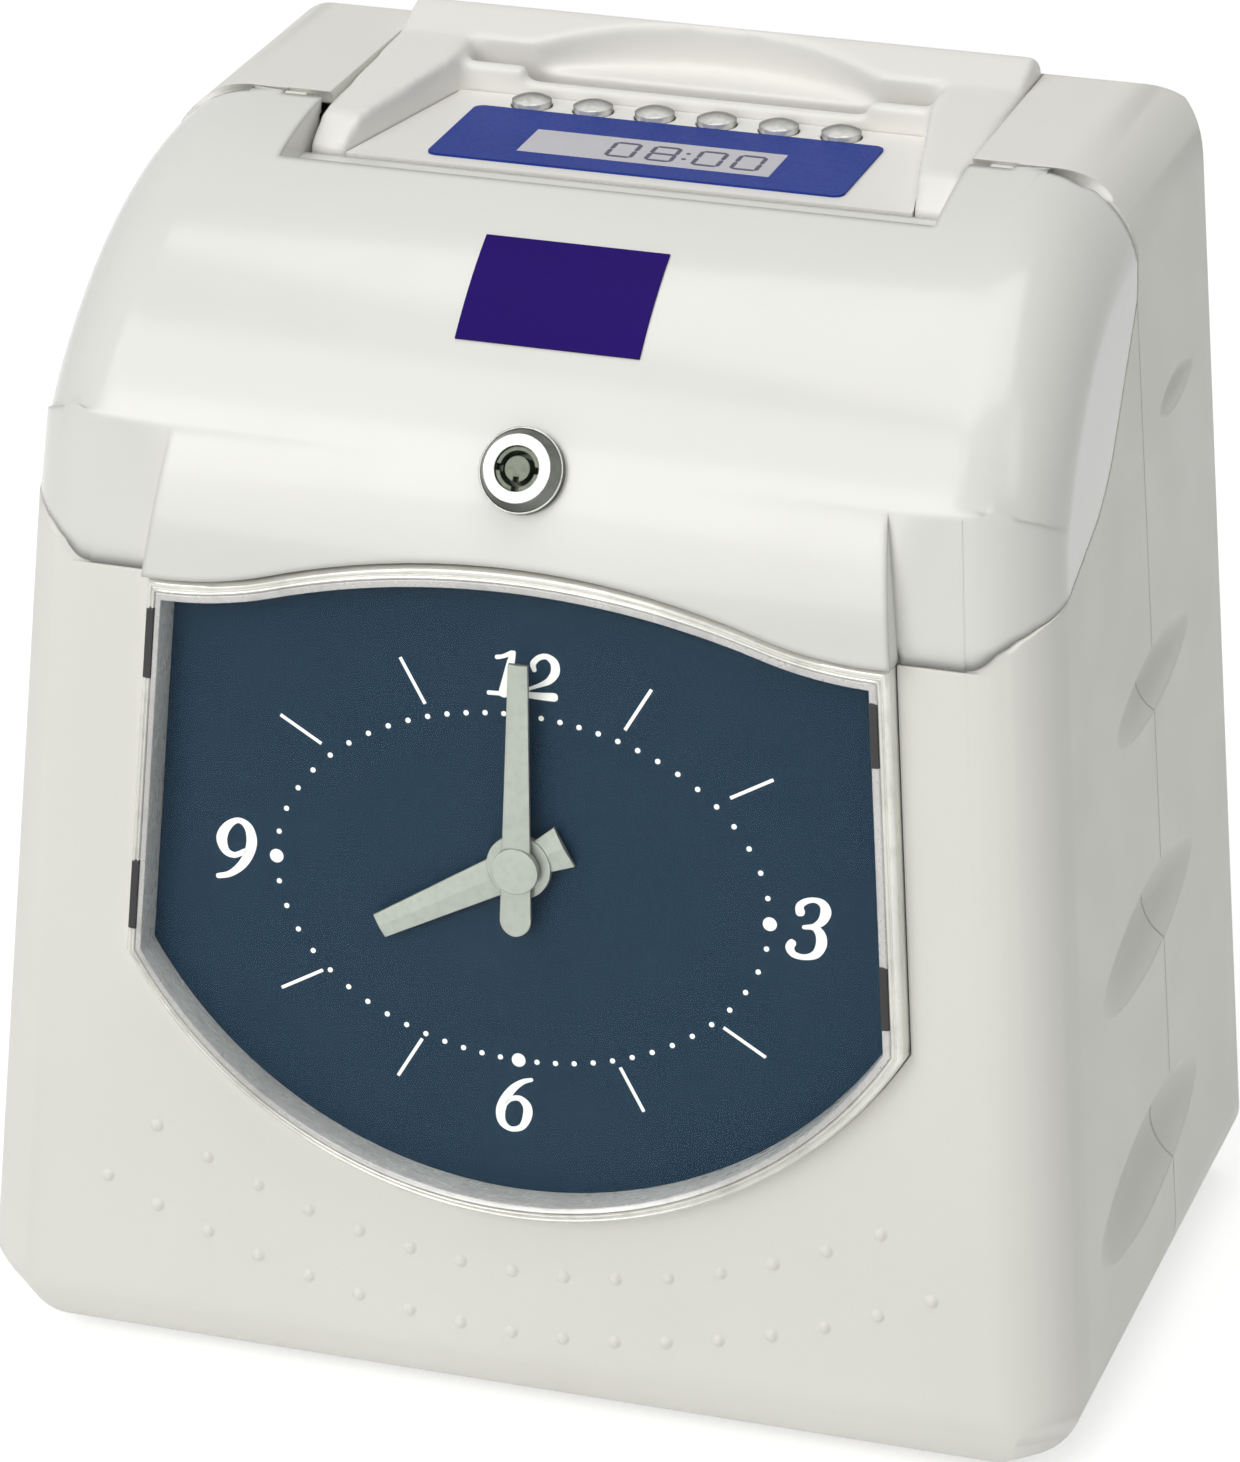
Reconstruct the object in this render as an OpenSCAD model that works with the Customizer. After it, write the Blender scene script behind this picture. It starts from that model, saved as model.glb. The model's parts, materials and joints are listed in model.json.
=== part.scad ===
// Time clock: a card time recorder with a dial, a flip-up hood and a keypad
// Frame: X to the right as seen from the front, Y to the back, Z up, millimetres
// Origin: on the table, under the middle of the case

/* [Case] */
// Width of the case at its foot
case_w = 215.2; // [210:0.2:220]
// Depth of the case from the front foot edge to the back
case_d = 138.5; // [137:0.5:146]
// Height of the top face above the table
case_h = 225.3; // [223:0.1:230]
// Inward lean of each side wall in degrees
side_draft = 4.2; // [3.6:0.1:4.6]
// Backward lean of the front wall in degrees
front_lean = 2.9; // [2.5:0.1:3.4]
// Wall thickness of the shells
wall = 2.6; // [2.2:0.1:2.9]
// Radius of the long lower edges
foot_r = 20; // [16:1:24]
// Radius of the front foot edge
front_foot_r = 16; // [14:1:20]
// Radius of the upright front edges
edge_r = 15; // [13:1:19]
// Radius of the lower front corners
corner_r = 19; // [16:1:28]
// Radius of the top shoulders
shoulder_r = 17; // [15:1:21]
// Radius of the rear top edge
rear_top_r = 10; // [6:1:14]
// Radius of the rear foot edge
rear_foot_r = 8; // [5:1:12]
// Radius of the upright rear edges
rear_edge_r = 12; // [8:1:14]
// Gap of the seams between the shells, along Y
seam_gap = 0.5; // [0.4:0.05:0.7]

/* [Hood] */
// Radius of the hood's barrel, seen from the side
hood_r = 77; // [75:0.5:79]
// Height of the hood seam at the front
hood_seam = 158.5; // [156:0.5:160]
// How far the brow stands proud of the front wall at the seam
brow_proud = 5.3; // [4.6:0.1:6]
// Height of the crease where the brow leaves the side fields
crease_z = 185; // [181:0.5:188]
// Width of the brow at the crease
brow_w = 131.6; // [128:0.2:136]
// Outward slope of each brow edge, growing downwards, in degrees
brow_splay = 7; // [4:0.5:9]
// Depth of the keypad notch below the top face
notch_drop = 7.3; // [6.8:0.1:7.8]
// Depth of the hinge axis below the top face
hinge_drop = 2.2; // [2:0.05:2.4]
// Diameter of the hinge pins
hinge_pin_d = 2; // [1.6:0.1:2.2]

/* [Window and dial] */
// Height of the crest of the wavy upper edge along the front
wave_top = 168.6; // [167:0.2:170]
// Radius of the crest of the wave
wave_crest_r = 158; // [150:1:170]
// Half width of the crest, where the wave turns
wave_turn_x = 45; // [42:0.5:48]
// Half width of the whole wave
wave_half = 66; // [64:0.5:67]
// Half width of the window at its top
lens_top_x = 68.5; // [67.5:0.1:69.5]
// Half width of the window at its lower kinks
lens_kink_x = 73.5; // [72:0.1:75]
// Height of the lower kinks along the front
lens_kink_s = 86; // [83:0.5:90]
// Height of the lowest point of the window along the front
lens_low_s = 43.7; // [42:0.1:46]
// How far the window stands proud of the front wall
lens_proud = 4; // [3.6:0.1:4.4]
// Thickness of the window's face
lens_t = 2; // [1.6:0.1:2.2]
// Width of the window's rim
lens_rim = 2.4; // [2:0.1:2.6]
// Width of the channel between rim and dial
dial_channel = 1.8; // [1.6:0.1:2.2]
// Depth of the dial's face behind the front wall
dial_depth = 4; // [3.8:0.1:4.4]
// Height of the hand arbor along the front
arbor_s = 110.5; // [108:0.5:113]
// Reach of the minute hand
minute_len = 39; // [34:0.5:42]
// Reach of the hour hand
hour_len = 30.5; // [26:0.5:33]

/* [Card guide and keypad] */
// Width of the card guide
guide_w = 121.2; // [120:0.2:121.4]
// Clear width of the card slot
card_slot_w = 90; // [88:0.5:92]
// Clear depth of the card slot
card_slot_d = 4.8; // [4.5:0.1:5]
// Distance of the card slot before the back wall
slot_rear = 24.65; // [24:0.05:26]
// Height of the guide's back wall above the top face
guide_rise = 4.7; // [4:0.1:5.4]
// Spacing of the keys
key_pitch = 11.95; // [11:0.05:12.2]
// Diameter of a key
key_d = 7.4; // [6.8:0.1:7.8]
// Travel of a key
key_travel = 1; // [0.8:0.1:1]

/* [Lock] */
// Diameter of the lock's barrel
lock_d = 12; // [11:0.2:12.6]
// Diameter of the lock's turning core
lock_core_d = 8; // [7.4:0.2:8.4]
// Length of the lock's barrel behind the flange
lock_len = 17; // [16:0.5:18]

/* [Fits] */
// Running clearance of shafts, on the radius
run_fit = 0.05; // [0.03:0.01:0.1]
// Clearance between pieces that are set into each other
set_fit = 0.25; // [0.2:0.01:0.3]

/* [Hidden] */
$fn = 64;

// Colours
case_white = [0.87, 0.86, 0.83];
hood_white = [0.95, 0.94, 0.91];
guide_white = [0.93, 0.93, 0.92];
dial_blue = [0.17, 0.23, 0.31];
label_blue = [0.24, 0.31, 0.65];
steel = [0.72, 0.72, 0.70];
zinc = [0.62, 0.64, 0.66];
rubber_black = [0.10, 0.10, 0.11];
resin_black = [0.14, 0.14, 0.15];
board_green = [0.10, 0.34, 0.20];
gear_white = [0.90, 0.90, 0.86];
brass_tone = [0.80, 0.66, 0.36];
copper_tone = [0.66, 0.40, 0.20];

// Walls of the case as functions of height
function front_y(z) = -case_d / 2 + z * tan(front_lean);
function side_x(z) = case_w / 2 - z * tan(side_draft);
rear_y = case_d / 2 + lens_proud * cos(front_lean) - lens_low_s * sin(front_lean);

function unit(v) = v / norm(v);

// Feet and shells
foot_h = 1.5;
foot_d = 14;
blend = 0.996;
far = 130;

// Hood
hood_cz = case_h - hood_r;
hood_cy = front_y(hood_seam) - brow_proud + sqrt(pow(hood_r, 2) - pow(hood_seam - hood_cz, 2));
hinge_y = hood_cy + 0.6;
hinge_z = case_h - hinge_drop;
split_y = hinge_y - 2;
crease_y = hood_cy - sqrt(pow(hood_r, 2) - pow(crease_z - hood_cz, 2));
seam_y = front_y(hood_seam);
field_lean = atan2(crease_y - seam_y, crease_z - hood_seam);
skirt_step = [for (p = [[71.6, 0], [70.2, 3.3], [68.4, 5.5], [65.5, 7.2]])
    [hinge_y - p[0], hood_seam + p[1]]];
skirt_knee = [hinge_y - 29, hood_seam + 18];
skirt_low = [hinge_y - 1.8, case_h - 21.6];
skirt_high = [hinge_y - 0.2, case_h - 13];
brow_low_x = brow_w / 2 + (crease_z - hood_seam) * tan(brow_splay);
notch_z = case_h - notch_drop;
notch_half = guide_w / 2 + 0.6;
notch_front = hinge_y - 24.4;
ledge_end = hinge_y - 11.4;
lug_in = notch_half + 3.6;
lug_w = 4.2;
knuckle_w = 6;
lug_gap = 0.4;
hinge_scoop = 1.18;

// Window and dial, measured along the leaning front
wave_turn_a = asin(wave_turn_x / wave_crest_r);
wave_mid = wave_top - wave_crest_r * (1 - cos(wave_turn_a));
wave_dip_r = (wave_half - wave_turn_x) / sin(wave_turn_a);
wave_end = wave_mid - wave_dip_r * (1 - cos(wave_turn_a));
lens_drop = 0.7;
lens_rise = lens_kink_s - lens_low_s;
lens_arc_r = (pow(lens_kink_x, 2) + pow(lens_rise, 2)) / (2 * lens_rise);
dial_t = 1;
frame_t = 3;
dial_back = -dial_depth - dial_t;
frame_back = dial_back - frame_t;
dial_inset = lens_rim + dial_channel;
frame_ears = [[79, 68], [77, 147]];
strike_half = 12;
strike_s = 164;
strike_t = 1.3;

// Movement behind the dial
gear_m = 0.5;
motion_c = gear_m * (10 + 30) / 2;
rotor_c = gear_m * (48 + 8) / 2;
move_t = 15.5;
move_wall = 1.3;
arbor_r = 1.2;
pipe_r = 2.3;
hour_hand_h = -2.6;
minute_hand_h = -0.5;
hand_t = 1.1;
move_back = frame_back - move_t;

// Lock, on the hood's barrel
lock_z = 184.5;
lock_tilt = asin((lock_z - hood_cz) / hood_r);
lock_flange_d = 15.4;
lock_proud = 4.2;
cam_t = 2.2;
cam_len = 17;

// Card guide and keypad
slot_y = rear_y - slot_rear;
panel_z = notch_z + 0.5;
panel_t = 3.5;
tray_top = panel_z - panel_t;
tray_t = 3;
tray_z = tray_top - tray_t;
guide_front = hinge_y - 10.9;
guide_back = slot_y + 17;
guide_top = case_h + guide_rise;
lip_t = 3.4;
lip_front = slot_y - card_slot_d / 2 - lip_t;
arm_foot_x = 53.6;
arm_tail_x = card_slot_w / 2 + 0.8;
key_y = lip_front - 5;
label_y = [hinge_y - 7.3, key_y - key_d / 2 - 0.1];
label_half = 39.4;
lcd_half = 23.8;
lcd_mid = (label_y[0] + label_y[1]) / 2 - 1.2;
lcd_y = [lcd_mid - 5.4, lcd_mid + 5.4];
board_t = 1.6;
board_z = tray_z - 1.4 - board_t;
switch_h = 1.6;

// Card mechanism inside
frame_x = 62;
sheet = 1.2;
base_z = 9;
chassis_y = [slot_y - 74, slot_y + 14];
feed_z = case_h - 36;
feed_d = 16;
pinch_d = 12;
card_gap = 0.35;
feed_y = slot_y - card_gap - feed_d / 2;
pinch_y = slot_y + card_gap + pinch_d / 2;
shaft_d = 5;
pinch_shaft_d = 4;
feed_m = 0.8;
feed_teeth = 30;
motor_teeth = 10;
motor_c = feed_m * (feed_teeth + motor_teeth) / 2;
print_z = case_h - 60;
rail_y = slot_y - 23;
rail_gap = 15;
rail_d = 4;
carriage_w = 34;
carriage_travel = 14;
rack_m = 0.8;
rack_teeth = 12;
rack_r = rack_m * rack_teeth / 2;
chute_low = 76;

// Lay a flat outline across X or Y, or on the leaning front wall
module along_y(y0, y1) {
    translate([0, y1, 0]) rotate([90, 0, 0]) linear_extrude(y1 - y0) children();
}
module along_x(x0, x1) {
    translate([x0, 0, 0]) rotate([90, 0, 90]) linear_extrude(x1 - x0) children();
}
module on_front() {
    translate([0, -case_d / 2, 0]) rotate([90 - front_lean, 0, 0]) children();
}
module slab(h0, h1) {
    translate([0, 0, h0]) linear_extrude(h1 - h0) children();
}
module both_sides() {
    children();
    mirror([1, 0, 0]) children();
}
module box(x, y, z) {
    translate([x[0], y[0], z[0]]) cube([x[1] - x[0], y[1] - y[0], z[1] - z[0]]);
}
module rod(d, h0, h1) {
    translate([0, 0, h0]) cylinder(d = d, h = h1 - h0);
}
module rod_x(d, x0, x1, y, z) {
    translate([x0, y, z]) rotate([0, 90, 0]) cylinder(d = d, h = x1 - x0);
}
module rod_y(d, y0, y1, x, z) {
    translate([x, y1, z]) rotate([90, 0, 0]) cylinder(d = d, h = y1 - y0);
}

// An area with each corner rounded by its own radius
module rounded_area(pts, radii) {
    k = len(pts);
    difference() {
        polygon(pts);
        for (i = [0 : k - 1]) if (radii[i] > 0)
            corner_cut(pts[i], unit(pts[(i + k - 1) % k] - pts[i]), unit(pts[(i + 1) % k] - pts[i]),
                radii[i]);
    }
}
module rounded_box(x, y, r) {
    rounded_area([[-x, -y], [x, -y], [x, y], [-x, y]], [r, r, r, r]);
}
module corner_cut(p, u, w, r) {
    half = acos(u * w) / 2;
    mid = unit(u + w);
    reach = r / tan(half);
    middle = p + mid * r / sin(half);
    difference() {
        polygon([p - 2 * mid, p + u * reach - unit(w - u * (u * w)), middle,
            p + w * reach - unit(u - w * (u * w))]);
        translate(middle - mid * r * (1 - blend)) circle(r, $fn = 120);
    }
}

// Flat gear outline
module gear(teeth, m) {
    pitch = 360 / teeth;
    tip = m * teeth / 2 + 0.75 * m;
    root = m * teeth / 2 - m;
    flanks = [[-0.26, root], [-0.12, tip], [0.12, tip], [0.26, root]];
    polygon([for (i = [0 : teeth - 1]) for (f = flanks)
        f[1] * [cos((i + f[0]) * pitch), sin((i + f[0]) * pitch)]]);
}

// Outlines of the whole case, drawn in by t
module front_outline(t) {
    low = side_x(foot_h) - t;
    high = side_x(case_h) - t;
    rounded_area(
        [[-low, foot_h + t], [low, foot_h + t], [high, case_h - t], [-high, case_h - t]],
        [foot_r - t, foot_r - t, shoulder_r - t, shoulder_r - t]);
}
module side_outline(t) {
    rounded_area(
        [[front_y(foot_h) + t, foot_h + t], [rear_y - t, foot_h + t],
         [rear_y - t, case_h - t], [front_y(case_h) + t, case_h - t]],
        [front_foot_r - t, rear_foot_r - t, rear_top_r - t, 0]);
}

// What rounding an upright edge takes away, at a corner that leans
module upright_edge(lean, r) {
    rotate([-lean, -side_draft, 0]) translate([0, 0, -far]) linear_extrude(3 * far) difference() {
        translate([-r, -4]) square([r + 4, r + 4]);
        translate([-r * blend, r * blend]) circle(r);
    }
}
// What rounding a lower front corner takes away, seen along the diagonal
module foot_corner(t) {
    tilt = atan((tan(side_draft) + tan(front_lean)) / sqrt(2));
    rotate([0, 0, -45]) rotate([90, 0, 0]) translate([0, 0, -far / 4]) linear_extrude(far / 2)
        corner_cut([(edge_r - t) * (1 - sqrt(2)), 0], [-sin(tilt), cos(tilt)], [-1, 0], corner_r - t);
}
module case_form(t) {
    difference() {
        intersection() {
            along_y(-far, far) front_outline(t);
            along_x(-far, far) side_outline(t);
        }
        both_sides() translate([side_x(0) - t, front_y(0) + t, 0]) upright_edge(front_lean, edge_r - t);
        both_sides() translate([side_x(0) - t, rear_y - t, 0])
            mirror([0, 1, 0]) upright_edge(0, rear_edge_r - t);
        both_sides() translate([side_x(foot_h) - t, front_y(foot_h) + t, foot_h + t]) foot_corner(t);
    }
}

// Side view of the hood with its seam
module hood_side() {
    rounded_area(
        concat([[-far, hood_seam]], skirt_step, [skirt_knee, skirt_low, skirt_high, [hinge_y, hinge_z],
            [hinge_y, case_h + far], [-far, case_h + far]]),
        [0, 0, 0, 0, 0, 46, 6, 8, 0, 0, 0]);
}
module hood_gap_side() {
    translate([seam_gap, -seam_gap / 2]) hood_side();
}

// Sunk leaf-shaped hand recesses on the side walls: [y, z, length, height]
leaves = [[hinge_y + 23.7, 178.2, 34, 7.4], [hinge_y - 1.7, 131.1, 80, 14.4],
    [hinge_y - 12.5, 87.1, 102, 20], [hinge_y - 18.6, 42.5, 112, 24]];
leaf_rise = 3;
leaf_out = 0.62;
module leaf(length, height) {
    bow = (pow(length / 2, 2) + pow(height / 2, 2)) / height;
    rotate([-90 + leaf_rise, 0, 0]) rotate_extrude() intersection() {
        translate([height / 2 - bow, 0]) circle(bow, $fn = 180);
        translate([0, -length]) square([height, 2 * length]);
    }
}
module leaf_set(grow) {
    both_sides() for (f = leaves)
        translate([side_x(f[1]) + leaf_out * f[3] / 2 - wall / 4, f[0], f[1]])
            leaf(f[2] + 2 * grow, f[3] + 2 * grow);
}

module shell_wall() {
    difference() {
        case_form(0);
        difference() {
            case_form(wall);
            leaf_set(wall * 0.8);
        }
        leaf_set(0);
    }
}

// Joining posts of the two shells: [x, z]
post_d = 9;
screw_d = 3.4;
post_len = 20;
post_rib = 4;
post_spots = [for (z = [58, 153]) [side_x(z) - rear_edge_r - screw_d - 0.6, z]];
screw_head_y = split_y + 12;

// Base posts that carry the chassis: [x, y]
base_posts = [[52, chassis_y[0] + 9], [52, chassis_y[1] - 12]];
base_post_d = 8;
base_screw_d = 3;

module case_posts(y0, y1, bore, rib_back) {
    both_sides() for (p = post_spots) intersection() {
        difference() {
            union() {
                rod_y(post_d, y0, y1, p[0], p[1]);
                box([p[0] + post_d / 2 - 1, side_x(p[1])], [y0 + rib_back, y1],
                    [p[1] - post_rib / 2, p[1] + post_rib / 2]);
            }
            rod_y(bore, y0 - 1, y1 + 1, p[0], p[1]);
        }
        case_form(wall / 2);
    }
}
module base_post(p) {
    difference() {
        translate([p[0], p[1], foot_h + wall / 2]) cylinder(d = base_post_d,
            h = base_z - foot_h - wall / 2);
        translate([p[0], p[1], foot_h + wall]) cylinder(d = base_screw_d, h = base_z);
    }
}

// Feet under the case: [x, y]
foot_spots = [[64, -42], [64, 50]];
foot_seat = 0.8;

module foot_recess() {
    both_sides() for (p = foot_spots) translate([p[0], p[1], foot_h - 1]) cylinder(d = foot_d,
        h = 1 + foot_seat);
}

// Region under the wavy edge, lowered by drop
module wave_area(drop) {
    difference() {
        translate([-far, 0]) square([2 * far, wave_mid - drop]);
        for (s = [-1, 1]) translate([s * wave_half, wave_end - drop + wave_dip_r]) circle(wave_dip_r,
            $fn = 180);
    }
    intersection() {
        translate([0, wave_top - drop - wave_crest_r]) circle(wave_crest_r, $fn = 360);
        translate([-wave_half, wave_mid - drop - 0.01]) square([2 * wave_half, 30]);
    }
}

// Outline of the window drawn in by t
module lens_outline(t) {
    intersection() {
        wave_area(lens_drop + t);
        union() {
            polygon([[-lens_top_x + t, strike_s], [lens_top_x - t, strike_s], [lens_top_x - t, wave_end],
                [lens_kink_x - t, lens_kink_s], [-lens_kink_x + t, lens_kink_s], [-lens_top_x + t,
                    wave_end]]);
            intersection() {
                translate([0, lens_low_s + lens_arc_r]) circle(lens_arc_r - t, $fn = 180);
                translate([-far, 0]) square([2 * far, lens_kink_s + 0.01]);
            }
            translate([-wave_turn_x, lens_kink_s]) square([2 * wave_turn_x, wave_top - lens_kink_s]);
        }
    }
}

// Rows of small raised dots on the lower front: [count, height, rise]
dot_rows = [[15, 31.7, 260], [17, 19.4, 328]];
dot_pitch = 9.88;
dot_r = 1.5;
dot_sunk = 0.85;
function foot_dip(s) =
    let (d = foot_h + front_foot_r - s)
    d > 0 ? front_foot_r - sqrt(pow(front_foot_r, 2) - pow(d, 2)) : 0;
module dots() {
    on_front() for (row = dot_rows) for (i = [0 : row[0] - 1]) {
        x = (i - (row[0] - 1) / 2) * dot_pitch;
        s = row[1] + x * x / row[2];
        translate([x, s, -foot_dip(s) - dot_sunk]) rotate([90, 0, 0]) sphere(dot_r, $fn = 24);
    }
}

module front_case() {
    color(case_white) difference() {
        union() {
            intersection() {
                shell_wall();
                along_x(-far, far) difference() {
                    translate([-far, -far]) square([far + split_y - seam_gap / 4, 3 * far]);
                    hood_gap_side();
                }
            }
            case_posts(split_y - post_len, split_y - seam_gap / 4, screw_d, post_rib / 2);
            on_front() both_sides() for (p = frame_ears) difference() {
                translate([p[0], p[1], dial_back]) cylinder(d = 7, h = -dial_back - wall / 2);
                translate([p[0], p[1], dial_back - 1]) cylinder(d = 2.4, h = -dial_back + 1 - wall);
            }
            both_sides() base_post(base_posts[0]);
            dots();
        }
        on_front() slab(-wall - 3, 2) {
            lens_outline(-set_fit);
            translate([-lens_top_x, wave_end - 8]) square([2 * lens_top_x, 40]);
        }
        foot_recess();
    }
}

// Wall hooks on the back: [x, z], head and neck of the hanging screw
hang_spots = [[-60, 174], [60, 174]];
hang_head_d = 9;
hang_neck_d = 4.6;
hang_rise = 9;
inlet_x = frame_x + 17;
inlet_z = 36;
inlet_w = 24;
inlet_h = 17;

module rear_case() {
    color(case_white) difference() {
        union() {
            difference() {
                intersection() {
                    shell_wall();
                    along_x(-far, far) difference() {
                        translate([split_y + seam_gap / 4, -far]) square([far, 3 * far]);
                        hood_gap_side();
                    }
                }
                both_sides() rod_x(2 * hinge_drop * 1.28, guide_w / 2 - 2, lug_in + lug_w + lug_gap / 2,
                    hinge_y, hinge_z);
            }
            case_posts(split_y + seam_gap / 4, rear_y - wall / 2, screw_d + 2 * set_fit, 0);
            both_sides() base_post(base_posts[1]);
            both_sides() hinge_lug();
        }
        box([-guide_w / 2 - set_fit, guide_w / 2 + set_fit], [-far, guide_back + set_fit],
            [tray_z - 0.5, case_h + 9]);
        both_sides() rod_x(2 * hinge_drop * hinge_scoop, lug_in + lug_w + lug_gap / 2, side_x(case_h),
            hinge_y, hinge_z);
        both_sides() rod_x(hinge_pin_d, lug_in - 1, lug_in + lug_w + 1, hinge_y, hinge_z);
        both_sides() for (p = post_spots) rod_y(2 * screw_d, screw_head_y, far, p[0], p[1]);
        for (p = hang_spots) {
            rod_y(hang_head_d, rear_y - 9, far, p[0], p[1]);
            rod_y(hang_neck_d, rear_y - 9, far, p[0], p[1] + hang_rise);
            box([p[0] - hang_neck_d / 2, p[0] + hang_neck_d / 2], [rear_y - 9, far], [p[1],
                p[1] + hang_rise]);
        }
        box([inlet_x - inlet_w / 2 - set_fit, inlet_x + inlet_w / 2 + set_fit], [rear_y - 9, far],
            [inlet_z - inlet_h / 2 - set_fit, inlet_z + inlet_h / 2 + set_fit]);
        foot_recess();
    }
}

// Ear of the rear shell that holds a hinge pin
module hinge_lug() {
    rod_x(2 * hinge_drop - 0.2, lug_in, lug_in + lug_w, hinge_y, hinge_z);
    box([lug_in, lug_in + lug_w], [hinge_y, hinge_y + 9], [hinge_z - hinge_drop, case_h - wall / 2]);
}

// Hood, drawn in by t
module hood_form(t) {
    difference() {
        intersection() {
            along_y(-far, far) front_outline(t);
            along_x(-far, far) union() {
                translate([hood_cy, hood_cz]) circle(hood_r - t, $fn = 180);
                translate([hood_cy - 2, hood_cz]) square([40, hood_r - t - 0.05]);
            }
        }
        both_sides() translate([side_x(hood_cz) - t, hood_cy, hood_cz]) rotate([0, 90 - side_draft, 0])
            rotate([0, 0, 172]) shoulder_ring(t);
        both_sides() intersection() {
            along_x(0, far) side_field(t);
            along_y(-far, 0) polygon([[brow_w / 2 - t, crease_z], [brow_low_x - t, hood_seam],
                [brow_low_x - t, hood_seam - 20], [far, hood_seam - 20], [far, crease_z + 3],
                    [brow_w / 2 - t, crease_z + 3]]);
        }
        both_sides() translate([side_x(hood_seam) - t, seam_y + t, hood_seam]) upright_field_edge(t);
    }
}
module shoulder_ring(t) {
    r = shoulder_r - t;
    rotate_extrude(angle = 68) difference() {
        translate([hood_r - shoulder_r, -r]) square([shoulder_r + 4, r + 4]);
        translate([hood_r - t - r * blend, -r * blend]) circle(r);
    }
}
module side_field(t) {
    slope = tan(field_lean);
    polygon([[crease_y + t + 3 * slope, crease_z + 3], [seam_y + t - 20 * slope, hood_seam - 20],
        [-far, hood_seam - 20], [-far, crease_z + 3]]);
}
module upright_field_edge(t) {
    intersection() {
        upright_edge(field_lean, edge_r - t);
        translate([-far, -far, -30]) cube([2 * far, 2 * far, 30 + crease_z - hood_seam + 4]);
    }
}

// Wavy lower edge of the brow, as a cut through the hood
module brow_cut() {
    on_front() slab(-30, 30) intersection() {
        wave_area(0);
        translate([-brow_low_x - 0.2, 0]) square([2 * brow_low_x + 0.4, 200]);
    }
}

module on_lock() {
    translate([0, hood_cy, hood_cz]) rotate([90 - lock_tilt, 0, 0]) translate([0, 0, hood_r]) children();
}

module hood() {
    color(hood_white) difference() {
        union() {
            intersection() {
                difference() {
                    hood_form(0);
                    hood_form(wall);
                }
                along_x(-far, far) hood_side();
            }
            intersection() {
                hood_form(wall / 2);
                box([-notch_half - wall, notch_half + wall], [notch_front - 8, hinge_y - 3.4],
                    [notch_z - wall, case_h]);
                along_x(-far, far) hood_side();
            }
            both_sides() hood_knuckle();
        }
        box([-notch_half, notch_half], [notch_front, far], [notch_z, case_h + 9]);
        box([-notch_half, notch_half], [ledge_end, far], [notch_z - 9, case_h + 9]);
        both_sides() rod_x(2 * (hinge_drop + 0.35), notch_half - 1, lug_in + lug_w + lug_gap / 2,
            hinge_y, hinge_z);
        both_sides() rod_x(hinge_pin_d + 2 * run_fit, lug_in, lug_in + 2 * far, hinge_y, hinge_z);
        brow_cut();
        on_lock() rod(lock_d + 2 * set_fit, -lock_len, 9);
    }
}
module hood_knuckle() {
    x0 = lug_in + lug_w + lug_gap;
    rod_x(2 * hinge_drop - 0.1, x0, x0 + knuckle_w, hinge_y, hinge_z);
    intersection() {
        box([x0, x0 + knuckle_w], [hinge_y - 7, hinge_y], [hinge_z - hinge_drop, case_h]);
        hood_form(wall / 2);
    }
}
module hinge_pins() {
    color(steel) both_sides()
        rod_x(hinge_pin_d, lug_in, lug_in + lug_w + lug_gap + knuckle_w, hinge_y, hinge_z);
}

// Clear window with a stepped rim and a flange behind the front wall
module window_lens() {
    flange_front = -wall - 0.1;
    color([0.8, 0.88, 0.9, 0.5]) on_front() difference() {
        union() {
            slab(dial_back, lens_proud - 0.9) lens_outline(0);
            slab(dial_back, lens_proud) lens_outline(0.8);
            slab(dial_back, flange_front) intersection() {
                lens_outline(-2);
                translate([-far, 0]) square([2 * far, wave_end - 8]);
            }
        }
        slab(dial_back - 1, lens_proud - lens_t) lens_outline(lens_rim);
    }
}

// Black blocks that hold the window: heights along the front
clip_s = [97, 146];
clip_len = 10;
function window_edge(s) =
    lens_kink_x + (lens_top_x - lens_kink_x) * (s - lens_kink_s) / (wave_end - lens_kink_s);
window_slant = atan2(lens_kink_x - lens_top_x, wave_end - lens_kink_s);
module lens_clips() {
    color(resin_black) on_front() both_sides() for (s = clip_s)
        translate([window_edge(s) - dial_inset + dial_channel / 2, s, dial_back]) rotate(window_slant)
            translate([-dial_channel / 2 + 0.3, -clip_len / 2, 0])
                cube([dial_channel - 0.6, clip_len, dial_depth + dial_t + 1]);
}
module dial_plate() {
    color(dial_blue) on_front() difference() {
        slab(dial_back, -dial_depth) lens_outline(dial_inset);
        translate([0, arbor_s]) rod(4 * pipe_r, dial_back - 1, 0);
    }
}

// Bracket behind the dial, with the strike of the lock on its upper edge
module dial_frame() {
    color(gear_white) on_front() difference() {
        union() {
            slab(frame_back, dial_back) intersection() {
                lens_outline(-3);
                translate([-far, 0]) square([2 * far, wave_end - 6]);
            }
            both_sides() for (p = frame_ears) translate([0, 0, frame_back]) linear_extrude(frame_t) {
                translate(p) circle(d = 8);
                translate([p[0] - 14, p[1] - 4]) square([14, 8]);
            }
            slab(frame_back - strike_t, dial_back) translate([-strike_half, wave_end - 6])
                square([2 * strike_half, strike_s - wave_end + 6]);
            slab(frame_back, dial_back) translate([-strike_half, wave_end - 20])
                square([2 * strike_half, 20]);
        }
        translate([0, arbor_s]) rod(4 * pipe_r, frame_back - 1, 0);
        both_sides() for (p = frame_ears) translate(p) rod(2.8, frame_back - 1, 0);
        both_sides() translate([42, 76]) rod(22, frame_back - 1, 0);
        both_sides() translate([44, 122]) rod(22, frame_back - 1, 0);
        translate([0, 66]) rod(18, frame_back - 1, 0);
    }
}
module frame_screws() {
    color(zinc) on_front() both_sides() for (p = frame_ears) translate(p) {
        rod(2.4, frame_back, -wall - 0.4);
        rod(5.2, frame_back - 1.8, frame_back);
    }
}

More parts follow.
